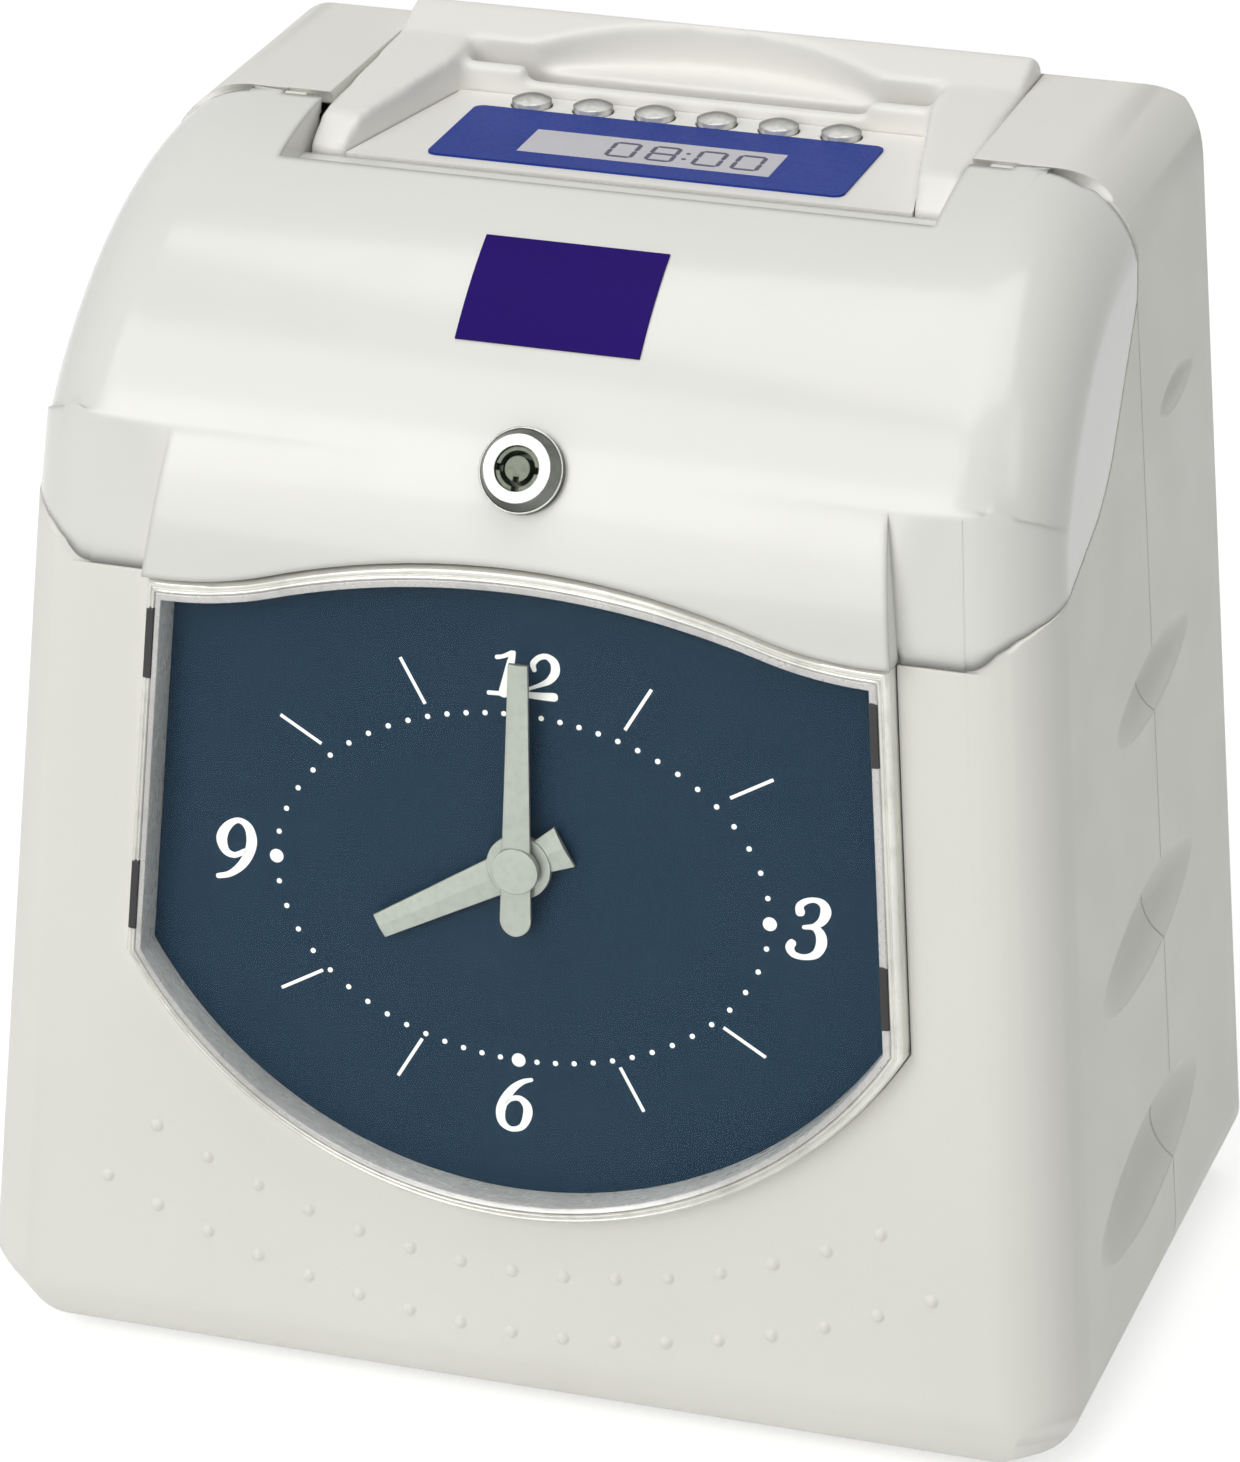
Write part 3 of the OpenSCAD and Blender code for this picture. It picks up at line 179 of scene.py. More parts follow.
def moulded(name, colour, shade, rough, edge=0.0008, coat=0.0, grain=0.05, dust=0.35, wave=0.06):
    """Moulded resin: fine surface grain, slow tone drift and softened edges."""
    f = Finish(name)
    drift = f.ramp(f.noise(14.0, 3.0), 0.35, 0.68)
    speck = f.ramp(f.noise(2600.0, 2.0), 0.58, 0.78, 0.0, dust)
    tone = f.blend(drift, colour, shade)
    tone = f.blend(speck, tone, tuple(c * 0.93 for c in shade))
    smear = f.ramp(f.noise(60.0, 4.0, 0.6), 0.3, 0.7, rough - 0.04, rough + 0.06)
    fine = f.noise(1900.0, 3.0, 0.6)
    slow = f.noise(45.0, 2.0)
    normal = f.bump(slow, wave, 0.0006, f.bevel(edge) if edge else None)
    normal = f.bump(fine, grain, 0.0002, normal)
    f.set({"Base Color": tone, "Roughness": smear, "Normal": normal, "IOR": 1.5,
           "Coat Weight": coat, "Coat Roughness": 0.08})
    return f.material


def metal(name, colour, rough, stretch, brush):
    """Bare metal with drawn or brushed lines and a little tarnish."""
    f = Finish(name)
    lines = f.noise(260.0, 4.0, 0.6, f.stretched(stretch))
    cloud = f.noise(120.0, 3.0)
    tone = f.blend(f.ramp(cloud, 0.35, 0.7), colour, tuple(c * 0.84 for c in colour))
    smear = f.ramp(lines, 0.3, 0.7, rough * 0.8, rough * 1.35)
    normal = f.bump(lines, brush, 0.00006, f.bevel(0.0002))
    f.set({"Base Color": tone, "Metallic": 1.0, "Roughness": smear, "Normal": normal})
    return f.material


def clear_window():
    """Clear acrylic with faint wipe marks; light passes to the dial unbroken."""
    f = Finish("clear_acrylic")
    wipe = f.noise(70.0, 4.0, 0.65, f.stretched((1.0, 1.0, 5.0), (0.0, 0.5, 0.0)))
    f.set({"Base Color": f.blend(f.ramp(wipe, 0.4, 0.7), (0.97, 0.98, 0.97), (0.93, 0.95, 0.94)),
           "Roughness": f.ramp(wipe, 0.35, 0.75, 0.01, 0.04),
           "Normal": f.bump(f.noise(30.0, 2.0), 0.02, 0.0005, f.bevel(0.0005)),
           "Transmission Weight": 1.0, "IOR": 1.1})
    passing = f.node("ShaderNodeBsdfTransparent", None, {"Color": (0.9, 0.92, 0.92)})
    shadow = f.node("ShaderNodeLightPath", out=1)
    both = f.node("ShaderNodeMixShader", None,
                  {0: shadow, 1: Value(f.tree, f.shader.outputs[0]), 2: passing})
    f.tree.links.new(both.socket, f.tree.nodes["Material Output"].inputs["Surface"])
    return f.material


def dial_paint():
    """Matt navy dial card with a faint woven speckle."""
    f = Finish("dial_navy")
    speck = f.ramp(f.noise(900.0, 4.0, 0.7), 0.3, 0.72)
    drift = f.ramp(f.noise(22.0, 3.0), 0.3, 0.7)
    tone = f.blend(speck, (0.006, 0.024, 0.048), (0.010, 0.030, 0.054))
    tone = f.blend(drift * 0.35, tone, (0.014, 0.032, 0.054))
    f.set({"Base Color": tone, "Roughness": f.ramp(speck, 0.0, 1.0, 0.5, 0.6),
           "Specular IOR Level": 0.15, "Normal": f.bump(speck, 0.01, 0.0001)})
    return f.material


def print_ink(name, colour, shade):
    """Printed ink: slightly uneven cover with soft gloss."""
    f = Finish(name)
    cover = f.ramp(f.noise(700.0, 3.0), 0.3, 0.75)
    f.set({"Base Color": f.blend(cover, colour, shade),
           "Roughness": f.ramp(cover, 0.0, 1.0, 0.38, 0.55),
           "Normal": f.bump(cover, 0.04, 0.0001)})
    return f.material


def film(name, colour, shade, rough):
    """Back-printed plastic film with a dull face."""
    f = Finish(name)
    drift = f.ramp(f.noise(38.0, 3.0), 0.3, 0.7)
    fine = f.noise(1500.0, 2.0)
    f.set({"Base Color": f.blend(drift, colour, shade),
           "Roughness": f.ramp(fine, 0.3, 0.7, rough, rough + 0.1),
           "Specular IOR Level": 0.1,
           "Normal": f.bump(fine, 0.04, 0.0001, f.bevel(0.0003))})
    return f.material


def lcd_glass():
    """Lilac-grey liquid crystal glass with a fine cell raster."""
    f = Finish("lcd_glass")
    raster = ((f.along(0) * 4000.0).wrap(1.0) - 0.5).absolute() * 2.0
    drift = f.ramp(f.noise(60.0, 3.0), 0.3, 0.7)
    tone = f.blend(drift, (0.47, 0.46, 0.53), (0.53, 0.51, 0.56))
    tone = f.blend(f.ramp(raster, 0.86, 1.0, 0.0, 0.2), tone, (0.28, 0.28, 0.38))
    f.set({"Base Color": tone, "Roughness": f.ramp(drift, 0.0, 1.0, 0.16, 0.26),
           "Coat Weight": 0.6, "Coat Roughness": 0.05,
           "Normal": f.bump(drift, 0.02, 0.0002)})
    return f.material


def circuit():
    """Green solder mask over a grid of copper tracks."""
    f = Finish("circuit_green")
    across = ((f.along(0) * 320.0).wrap(1.0) - 0.5).absolute()
    up = ((f.along(2) * 260.0).wrap(1.0) - 0.5).absolute()
    pick = f.noise(90.0, 1.0).above(0.52)
    track = f.ramp(across, 0.38, 0.42) * pick + f.ramp(up, 0.4, 0.43) * (1.0 - pick)
    pads = f.ramp(f.cells(300.0), 0.18, 0.24, 1.0, 0.0)
    tone = f.blend(track, (0.012, 0.10, 0.042), (0.03, 0.19, 0.075))
    tone = f.blend(pads * 0.5, tone, (0.55, 0.53, 0.47))
    f.set({"Base Color": tone, "Roughness": f.ramp(track, 0.0, 1.0, 0.32, 0.44),
           "Normal": f.bump(track + pads, 0.3, 0.0001)})
    return f.material


def windings():
    """Laminated core and varnished wire."""
    f = Finish("coil_varnish")
    turns = ((f.along(2) * 1400.0).wrap(1.0) - 0.5).absolute() * 2.0
    wear = f.ramp(f.noise(80.0, 4.0), 0.35, 0.7)
    tone = f.blend(turns, (0.20, 0.075, 0.03), (0.42, 0.17, 0.07))
    f.set({"Base Color": f.blend(wear * 0.4, tone, (0.12, 0.09, 0.07)),
           "Metallic": 0.6, "Roughness": f.ramp(wear, 0.0, 1.0, 0.3, 0.5),
           "Normal": f.bump(turns, 0.4, 0.0002)})
    return f.material


def cell_wrap():
    """Shrink sleeve of the battery pack with a band of seams."""
    f = Finish("cell_sleeve")
    seam = ((f.along(0) * 70.0).wrap(1.0) - 0.5).absolute()
    folds = f.noise(240.0, 4.0, 0.6)
    tone = f.blend(f.ramp(seam, 0.42, 0.47), (0.02, 0.10, 0.33), (0.03, 0.14, 0.42))
    f.set({"Base Color": tone, "Roughness": f.ramp(folds, 0.3, 0.7, 0.22, 0.4),
           "Normal": f.bump(folds, 0.15, 0.0004, f.bevel(0.0004))})
    return f.material


def plated(name, middle, edge, rough, metallic, edge_shade_fall=(0.15, 0.75)):
    """Plated metal with a painted sheen where it faces the eye and painted shade darkening it
    towards its edges.
    """
    f = Finish(name)
    scuff = f.ramp(f.noise(700.0, 4.0), 0.45, 0.75)
    shade_by_facing = f.node("ShaderNodeLayerWeight", None, {"Blend": 0.5}, 1)
    # Painted shade: the colour runs from middle to the dark edge colour as the surface turns away
    # from the eye; the scuffs below draw toward the same dark colour as real wear.
    tone = f.blend(f.ramp(shade_by_facing, *edge_shade_fall), middle, edge)
    tone = f.blend(scuff * 0.3, tone, edge)
    f.set({"Base Color": tone, "Metallic": metallic,
           "Roughness": f.ramp(scuff, 0.0, 1.0, rough, rough + 0.12),
           "Normal": f.bump(scuff, 0.06, 0.0001, f.bevel(0.0003))})
    return f.material


def rim_gloss(name, colour, shade, rough):
    """Polished rim of the window, drawn with fine lines that run round it."""
    f = Finish(name)
    streak = f.noise(900.0, 3.0, 0.6, f.stretched((0.25, 1.0, 0.25)))
    cloud = f.ramp(f.noise(30.0, 3.0), 0.3, 0.7)
    tone = f.blend(cloud, colour, shade)
    tone = f.blend(f.ramp(streak, 0.5, 0.72, 0.0, 0.5), tone, tuple(c * 0.72 for c in shade))
    f.set({"Base Color": tone, "Metallic": 0.35,
           "Roughness": f.ramp(streak, 0.3, 0.7, rough, rough + 0.1),
           "Normal": f.bump(streak, 0.06, 0.0001, f.bevel(0.0002)),
           "Coat Weight": 0.6, "Coat Roughness": 0.05})
    return f.material


FINISH = {
    "case_white": moulded("case_satin", (0.86, 0.845, 0.80), (0.838, 0.822, 0.776), 0.44,
                          grain=0.10),
    "hood_white": moulded("hood_gloss", (0.80, 0.793, 0.765), (0.785, 0.777, 0.747), 0.2,
                          edge=0.002, coat=0.3, grain=0.015, dust=0.05),
    "guide_white": moulded("guide_gloss", (0.88, 0.86, 0.83), (0.865, 0.845, 0.815), 0.36,
                           edge=0.0, grain=0.01, dust=0.0, wave=0.0),
    "clear": clear_window(),
    "dial_blue": dial_paint(),
    "label_blue": film("label_film", (0.012, 0.038, 0.27), (0.020, 0.048, 0.30), 0.4),
    "display": lcd_glass(),
    # hand_silver and chrome use the plated finish: their second colour is painted shade towards
    # each part's edges.
    "hand_silver": plated("hand_satin", (0.40, 0.42, 0.38), (0.24, 0.25, 0.23), 0.3, 0.45),
    "chrome": plated("lock_chrome", (0.34, 0.35, 0.33), (0.06, 0.065, 0.06), 0.14, 0.9,
                     edge_shade_fall=(0.1, 0.6)),
    "steel": metal("shaft_steel", (0.58, 0.58, 0.57), 0.2, (1.0, 40.0, 40.0), 0.1),
    "zinc": metal("sheet_zinc", (0.56, 0.57, 0.56), 0.36, (2.0, 30.0, 30.0), 0.2),
    "brass": metal("turned_brass", (0.68, 0.50, 0.22), 0.26, (1.0, 20.0, 20.0), 0.12),
    "resin_black": moulded("black_resin", (0.022, 0.022, 0.023), (0.034, 0.034, 0.034), 0.42,
                           edge=0.0003, grain=0.1),
    "resin_white": moulded("white_resin", (0.72, 0.71, 0.66), (0.68, 0.67, 0.62), 0.36,
                           edge=0.0003, grain=0.06),
    "rubber": moulded("black_rubber", (0.018, 0.018, 0.018), (0.03, 0.03, 0.03), 0.66,
                      edge=0.0003, grain=0.2),
    "board": circuit(),
    "copper": windings(),
    "cell_blue": cell_wrap(),
    # The dark second colour is painted shade round the rim of each key dome.
    "key_grey": plated("key_dome", (0.80, 0.79, 0.76), (0.05, 0.05, 0.045), 0.12, 0.3,
                       edge_shade_fall=(0.36, 0.78)),
}
PRINT_WHITE = print_ink("print_white", (0.88, 0.875, 0.85), (0.80, 0.80, 0.78))
DIGIT_INK = print_ink("digit_ink", (0.045, 0.045, 0.095), (0.075, 0.075, 0.13))
RIM_GLOSS = rim_gloss("rim_gloss", (0.86, 0.85, 0.80), (0.72, 0.71, 0.66), 0.1)
RIM_SEAT = rim_gloss("rim_seat", (0.66, 0.65, 0.64), (0.54, 0.53, 0.52), 0.24)
# The lock face is plated too: its darker second colour is painted shade towards its edges.
LOCK_FACE = plated("lock_face", (0.14, 0.162, 0.12), (0.04, 0.045, 0.037), 0.34, 0.25,
                   edge_shade_fall=(0.3, 0.9))
BADGE_FILM = film("badge_indigo", (0.013, 0.0002, 0.128), (0.016, 0.0003, 0.146), 0.42)

for piece in nodes.values():
    for place, old in enumerate(piece.data.materials):
        piece.data.materials[place] = FINISH[old.name]
nodes["badge_plate"].data.materials[0] = BADGE_FILM
nodes["lock_plug"].data.materials[0] = LOCK_FACE


# Modelling helpers

def only(piece):
    bpy.ops.object.select_all(action="DESELECT")
    piece.select_set(True)
    bpy.context.view_layer.objects.active = piece


def settle(piece, name, place, finish, body):
    """Puts a finished piece in its place, with the place in its mesh."""
    piece.name = name
    piece.data.name = name
    only(piece)
    piece.matrix_world = place @ piece.matrix_world
    bpy.ops.object.transform_apply(location=True, rotation=True, scale=True)
    piece.data.materials.clear()
    piece.data.materials.append(finish)
    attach(piece, body)
    return piece


def joined(parts):
    """Joins copies into one piece."""
    bpy.ops.object.select_all(action="DESELECT")
    for part in parts:
        part.select_set(True)
    bpy.context.view_layer.objects.active = parts[0]
    bpy.ops.object.join()
    return bpy.context.view_layer.objects.active


def copies(master, places):
    """One own mesh for each place, moved there; the master itself goes."""
    made = []
    for place in places:
        part = master.copy()
        part.data = master.data.copy()
        bpy.context.scene.collection.objects.link(part)
        part.matrix_world = place @ master.matrix_world
        made.append(part)
    bpy.data.objects.remove(master)
    return made


DOT_RIM = 0.25
BAR_RIM = 0.2
RIM_RISE = 0.4


def drawn_up(height, rim=0.0, rise=0.0):
    """Draws the active flat piece up, with an eased rim where one is given."""
    bpy.ops.object.mode_set(mode="EDIT")
    bpy.ops.mesh.select_all(action="SELECT")
    bpy.ops.mesh.extrude_region_move(TRANSFORM_OT_translate={"value": (0, 0, height)})
    if rim:
        bpy.ops.mesh.inset(thickness=rim, depth=rise)
    bpy.ops.mesh.select_all(action="SELECT")
    bpy.ops.mesh.normals_make_consistent(inside=False)
    bpy.ops.object.mode_set(mode="OBJECT")


def formed(form, name):
    """A new piece of a form, alone selected."""
    mesh = bpy.data.meshes.new(name)
    form.to_mesh(mesh)
    form.free()
    piece = bpy.data.objects.new(name, mesh)
    bpy.context.scene.collection.objects.link(piece)
    only(piece)
    return piece


def raised_disc(radius, height, sides):
    """A printed dot: a disc drawn up and rounded at its rim."""
    bpy.ops.mesh.primitive_circle_add(vertices=sides, radius=radius, fill_type="NGON")
    drawn_up(height, radius * DOT_RIM, height * RIM_RISE)
    return bpy.context.object


def flat_sheet(width, length, across):
    """A flat strip of a width and length, its middle moved along Y."""
    bpy.ops.mesh.primitive_plane_add(size=1)
    sheet = bpy.context.object
    sheet.scale = (width, length, 1)
    sheet.location = (0, across, 0)
    bpy.ops.object.transform_apply(location=True, rotation=True, scale=True)
    return sheet


def raised_bar(width, length, height):
    """A printed line: a strip from the origin along +Y, drawn up."""
    bar = flat_sheet(width, length, length / 2)
    drawn_up(height, width * BAR_RIM, height * RIM_RISE)
    return bar


def smooth_line(points, steps=8):
    """A smooth line through points of any size."""
    ends = [points[0]] + points + [points[-1]]
    line = []
    for a, b, c, d in zip(ends, ends[1:], ends[2:], ends[3:]):
        for k in range(steps):
            t = k / steps
            line.append([0.5 * (2 * q + (r - p) * t + (2 * p - 5 * q + 4 * r - s) * t * t
                                + (3 * q - p - 3 * r + s) * t ** 3)
                         for p, q, r, s in zip(a, b, c, d)])
    line.append(list(points[-1]))
    return line


# The round end of a pen stroke, as shares of its half width across and along
PEN_CAP = [(0.92, 0.38), (0.7, 0.71), (0.38, 0.92)]
STROKE_STEP = 0.004


def pen_strokes(strokes, height):
    """Broad-pen figures: each stroke is (x, y, width) points, drawn up to its height."""
    form = bmesh.new()
    for order, stroke in enumerate(strokes):
        line = smooth_line(stroke)
        rows = []
        for i, (x, y, w) in enumerate(line):
            ahead = line[min(i + 1, len(line) - 1)]
            back = line[max(i - 1, 0)]
            way = Vector((ahead[0] - back[0], ahead[1] - back[1])).normalized()
            side = Vector((-way.y, way.x)) * w / 2
            rows.append((Vector((x, y)), way * w / 2, side))
        first = [(rows[0][0] - rows[0][1] * b, rows[0][2] * a) for a, b in reversed(PEN_CAP)]
        last = [(rows[-1][0] + rows[-1][1] * b, rows[-1][2] * a) for a, b in PEN_CAP]
        pairs = first + [(p, s) for p, w, s in rows] + last
        z = STROKE_STEP * order
        left = [form.verts.new((*(p + s), z)) for p, s in pairs]
        right = [form.verts.new((*(p - s), z)) for p, s in pairs]
        for a, b, c, d in zip(left, left[1:], right[1:], right):
            form.faces.new((a, d, c, b))
    figures = formed(form, "figures")
    drawn_up(height)
    return figures


# The leaning front: local x across, y up the face and z outward, in mm
LEAN_SIN, LEAN_COS = 0.05059, 0.99872
FACE_Y = -69.25
FACE = Matrix.Scale(MM, 4) @ Matrix(((1, 0, 0, 0), (0, LEAN_SIN, -LEAN_COS, FACE_Y),
                                     (0, LEAN_COS, LEAN_SIN, 0), (0, 0, 0, 1)))
DIAL = FACE @ Matrix.Translation((0, 106, -3.995))
INK = 0.05
DOT_RING_X, DOT_RING_Y = 46.5, 33.3
DOT_CENTRE_X, DOT_CENTRE_Y = -0.4, -0.8
DOT_R, LARGE_DOT_R = 0.5, 1.3
LARGE_DOTS = (15, 30, 45)
LINE_W = 0.62
# Each hour with the reach of its line's inner and outer end
HOUR_LINES = ((1, 37.3, 46.8), (2, 44.2, 53.2), (4, 43.9, 53.1), (5, 37.7, 46.9),
              (7, 37.7, 46.9), (8, 43.9, 53.1), (10, 44.2, 53.2), (11, 37.3, 46.8))

NUMERALS = {
    "twelve": [
        [(-2.13, 44.19, 0.7), (-2.58, 42.67, 1.36), (-3.48, 38.78, 1.59), (-3.96, 36.36, 1.88)],
        [(-5.24, 42.94, 0.84), (-4.15, 43.22, 0.75), (-2.53, 44.04, 0.93)],
        [(-6.72, 36.04, 0.8), (-4.66, 36.14, 0.8), (-2.0, 36.19, 0.8)],
        [(1.71, 41.39, 0.84), (1.47, 42.54, 1.07), (2.48, 43.75, 1.03), (3.98, 44.18, 1.07),
         (5.38, 43.19, 1.54), (5.57, 41.38, 1.63), (4.5, 39.71, 1.26), (2.77, 38.66, 0.79),
         (0.92, 37.8, 0.61), (-0.94, 36.75, 0.7)],
        [(-0.9, 36.6, 0.9), (0.93, 36.55, 1.17), (3.26, 36.6, 1.4), (5.4, 36.72, 1.6)]],
    "nine": [
        [(-58.19, -6.29, 0.98), (-55.99, -5.58, 1.17), (-53.72, -3.63, 1.62), (-52.26, -1.14, 1.88),
         (-51.7, 1.54, 2.01), (-52.39, 4.04, 1.62), (-54.32, 5.07, 1.04), (-56.42, 3.64, 1.62),
         (-57.5, 1.22, 2.08), (-56.77, -1.12, 1.56), (-55.0, -1.79, 1.1), (-53.06, -0.76, 0.97)]],
    "three": [
        [(51.61, 2.35, 1.74), (51.52, 3.45, 1.43), (52.56, 4.46, 1.12), (54.23, 4.96, 0.99),
         (55.78, 4.38, 1.55), (56.31, 2.87, 1.99), (55.57, 1.01, 1.55), (53.91, -0.18, 0.87),
         (52.39, -0.47, 0.75)],
        [(52.85, -0.34, 0.75), (54.38, -0.34, 1.25), (55.48, -1.55, 1.87), (55.63, -3.44, 1.99),
         (54.67, -5.34, 1.56), (52.7, -6.17, 1.06), (50.69, -5.92, 1.25), (49.89, -4.76, 1.62),
         (50.24, -3.84, 1.56)]],
    "six": [
        [(2.04, -37.65, 0.72), (0.41, -38.3, 1.0), (-1.48, -39.94, 1.44), (-3.09, -42.46, 1.72),
         (-3.75, -44.83, 1.78), (-3.32, -46.89, 1.45), (-1.67, -47.91, 0.95), (0.37, -47.17, 1.22),
         (1.39, -44.88, 1.72), (1.28, -42.92, 1.61), (-0.09, -41.66, 1.11), (-1.73, -41.96, 0.89),
         (-2.76, -43.03, 0.78)]],
}


def dial_printing():
    """Numerals, minute dots and hour lines on the dial."""
    for name, strokes in NUMERALS.items():
        settle(pen_strokes(strokes, INK), "numeral_" + name, DIAL, PRINT_WHITE,
               "case")
    small, large = [], []
    for minute in range(60):
        turn = math.radians(6 * minute)
        reach = 1 / math.hypot(math.sin(turn) / DOT_RING_X, math.cos(turn) / DOT_RING_Y)
        spot = Matrix.Translation((DOT_CENTRE_X + reach * math.sin(turn),
                                   DOT_CENTRE_Y + reach * math.cos(turn), 0))
        if minute in LARGE_DOTS:
            large.append(spot)
        elif minute:
            small.append(spot)
    dots = copies(raised_disc(DOT_R, INK, 14), small)
    dots += copies(raised_disc(LARGE_DOT_R, INK, 32), large)
    settle(joined(dots), "minute_dots", DIAL, PRINT_WHITE, "case")
    lines = []
    for hour, inner, outer in HOUR_LINES:
        bar = raised_bar(LINE_W, outer - inner, INK)
        turn = Matrix.Rotation(math.radians(-30 * hour), 4, "Z")
        bar.matrix_world = turn @ Matrix.Translation((0, inner, 0))
        lines.append(bar)
    settle(joined(lines), "hour_lines", DIAL, PRINT_WHITE, "case")


DIGIT_W, DIGIT_H = 4.3, 6.8
SEGMENT_L, SEGMENT_W, SEGMENT_PITCH = 3.3, 0.75, 3.4
DIGIT_INK_H = 0.03
DIGIT_SCALE = 1.08
DIGITS = ((-5.0, "0"), (2.0, "8"), (10.2, "0"), (17.0, "0"))
COLON_X, COLON_R, COLON_Y = 6.0, 0.42, (2.0, 4.8)
DIGITS_Y = 0.0115
# Each part of a digit: its place and whether it stands upright
SPOTS = {"a": (0, DIGIT_H, 0), "b": (DIGIT_W / 2, DIGIT_H * 0.75, 1),
         "c": (DIGIT_W / 2, DIGIT_H * 0.25, 1), "d": (0, 0, 0),
         "e": (-DIGIT_W / 2, DIGIT_H * 0.25, 1), "f": (-DIGIT_W / 2, DIGIT_H * 0.75, 1),
         "g": (0, DIGIT_H / 2, 0)}
SHAPES = {"0": "abcdef", "8": "abcdefg"}
GLASS_IN, GLASS_OUT, GLASS_BACK = 0.0012, 0.0006, 0.0009
GLASS_H, GLASS_RIM, GLASS_RISE, GLASS_SUNK = 0.00006, 0.0003, 0.00002, 0.00002


def segment(length, width, height):
    """One display segment: a bar with pointed ends."""
    bpy.ops.mesh.primitive_circle_add(vertices=6, radius=1, fill_type="NGON")
    bar = bpy.context.object
    half = length / 2
    outline = [(-half + width / 2, width / 2), (-half, 0), (-half + width / 2, -width / 2),
               (half - width / 2, -width / 2), (half, 0), (half - width / 2, width / 2)]
    for vertex, (x, y) in zip(bar.data.vertices, outline):
        vertex.co = (x, y, 0)
    drawn_up(height)
    return bar


def display_time():
    """The display's face and the time on it: four seven-part digits and a colon."""
    places = []
    for x, figure in DIGITS:
        for part in SHAPES[figure]:
            across, up, upright = SPOTS[part]
            turn = Matrix.Rotation(math.radians(90 * upright), 4, "Z")
            reach = DIGIT_H / 2 if upright else DIGIT_W
            size = Matrix.Scale(reach / SEGMENT_PITCH, 4, (1, 0, 0))
            places.append(Matrix.Translation((x + across, up, 0)) @ turn @ size)
    digits = copies(segment(SEGMENT_L, SEGMENT_W, DIGIT_INK_H), places)
    digits += copies(raised_disc(COLON_R, DIGIT_INK_H, 12),
                     [Matrix.Translation((COLON_X, y, 0)) for y in COLON_Y])
    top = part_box("display_label")[1].z
    low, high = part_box("lcd_module")
    face = flat_sheet(high.x - low.x - GLASS_IN, high.y - low.y + GLASS_OUT,
                      (low.y + high.y) / 2 - GLASS_BACK)
    drawn_up(GLASS_H, GLASS_RIM, GLASS_RISE)
    settle(face, "display_face", Matrix.Translation((0, 0, top - GLASS_SUNK)),
           FINISH["display"], "case")
    lift = Matrix.Translation((0, DIGITS_Y, top + GLASS_H)) @ Matrix.Scale(MM * DIGIT_SCALE, 4)
    settle(joined(digits), "display_digits", lift, DIGIT_INK, "case")


# The window: the line of its outer edge on the front, in mm
WAVE_TOP, CREST_R, TURN_X, WAVE_HALF = 168.6, 158.0, 45.0, 66.0
TURN = math.asin(TURN_X / CREST_R)
DIP_R = (WAVE_HALF - TURN_X) / math.sin(TURN)
WAVE_END = WAVE_TOP - (CREST_R + DIP_R) * (1 - math.cos(TURN))
WINDOW_DROP = 0.7
TOP_X, KINK_X, KINK_S, LOW_S = 68.5, 73.5, 86.0, 43.7
ARC_R = (KINK_X ** 2 + (KINK_S - LOW_S) ** 2) / (2 * (KINK_S - LOW_S))
BAND = 3.4
BAND_LEAN = 0.8
LOOP_ANGLE = math.radians(50)
# Steps round the window's line: its top, each side and its low arc
TOP_STEPS, SIDE_STEPS, LOW_STEPS = 80, 24, 96
HOLE_STEPS = 48
# Rim and seat as (share of the band inward, height) round the section
RIM_SECTION = [(0.0, -1.0), (0.0, 2.4), (0.04, 3.0), (0.12, 3.5), (0.22, 3.72), (0.32, 3.55),
               (0.37, 3.2), (0.41, 3.2), (0.46, 3.5), (0.52, 3.58), (0.58, 3.4), (0.62, 3.0),
               (0.62, -1.0)]
SEAT_SECTION = [(0.62, -3.9), (0.62, 3.05), (0.68, 3.25), (0.74, 3.1), (0.96, 2.9), (1.0, 2.7),
                (1.06, -3.9)]
PANE_IN, PANE_LOW, PANE_HIGH = 2.2, 2.1, 2.75
CARD_IN, CARD_LOW, CARD_HIGH, CARD_HOLE, CARD_HOLE_S = 2.3, -4.9, -4.0, 3.6, 110.5
BLOCKS_S = (97, 146)
BLOCK_H, BLOCK_EASE = 2.0, 0.25


def wave_height(x):
    x = abs(x)
    if x < TURN_X:
        return WAVE_TOP - WINDOW_DROP - CREST_R + math.sqrt(CREST_R ** 2 - x * x)
    return WAVE_END - WINDOW_DROP + DIP_R - math.sqrt(DIP_R ** 2 - (x - WAVE_HALF) ** 2)


def side_line(s):
    return TOP_X + (KINK_X - TOP_X) * (WAVE_END - s) / (WAVE_END - KINK_S)


def window_loop(share, even=0.0):
    """Points round the window, drawn in by a share of its band or by an even amount."""
    def drawn_in(across, up):
        return even + share * (BAND + BAND_LEAN * across + BAND_LEAN * up)

    def low_point(turn):
        reach = ARC_R - drawn_in(math.sin(turn), -math.cos(turn))
        return reach * math.sin(turn), LOW_S + ARC_R - reach * math.cos(turn)

    top = drawn_in(0, 1)
    ends = {}
    for side in (-1, 1):
        inset = drawn_in(side, 0)
        x = TOP_X - inset
        for _ in range(6):
            x = side_line(wave_height(x) - top) - inset
        near, far = math.radians(40), math.radians(80)
        for _ in range(40):
            turn = (near + far) / 2
            across, up = low_point(side * turn)
            if side * across < side_line(up) - inset:
                near = turn
            else:
                far = turn
        ends[side] = (side * x, side * turn)
    (left_x, left_turn), (right_x, right_turn) = ends[-1], ends[1]
    loop = []
    for k in range(TOP_STEPS):
        x = left_x + (right_x - left_x) * k / TOP_STEPS
        loop.append((x, wave_height(x) - top))
    right_top = (right_x, wave_height(right_x) - top)
    right_low = low_point(right_turn)
    for k in range(SIDE_STEPS):
        loop.append(tuple(a + (b - a) * k / SIDE_STEPS for a, b in zip(right_top, right_low)))
    for k in range(LOW_STEPS):
        loop.append(low_point(right_turn + (left_turn - right_turn) * k / LOW_STEPS))
    left_low = low_point(left_turn)
    for k in range(SIDE_STEPS):
        loop.append(tuple(a + (b - a) * k / SIDE_STEPS for a, b in zip(left_low, loop[0])))
    return loop


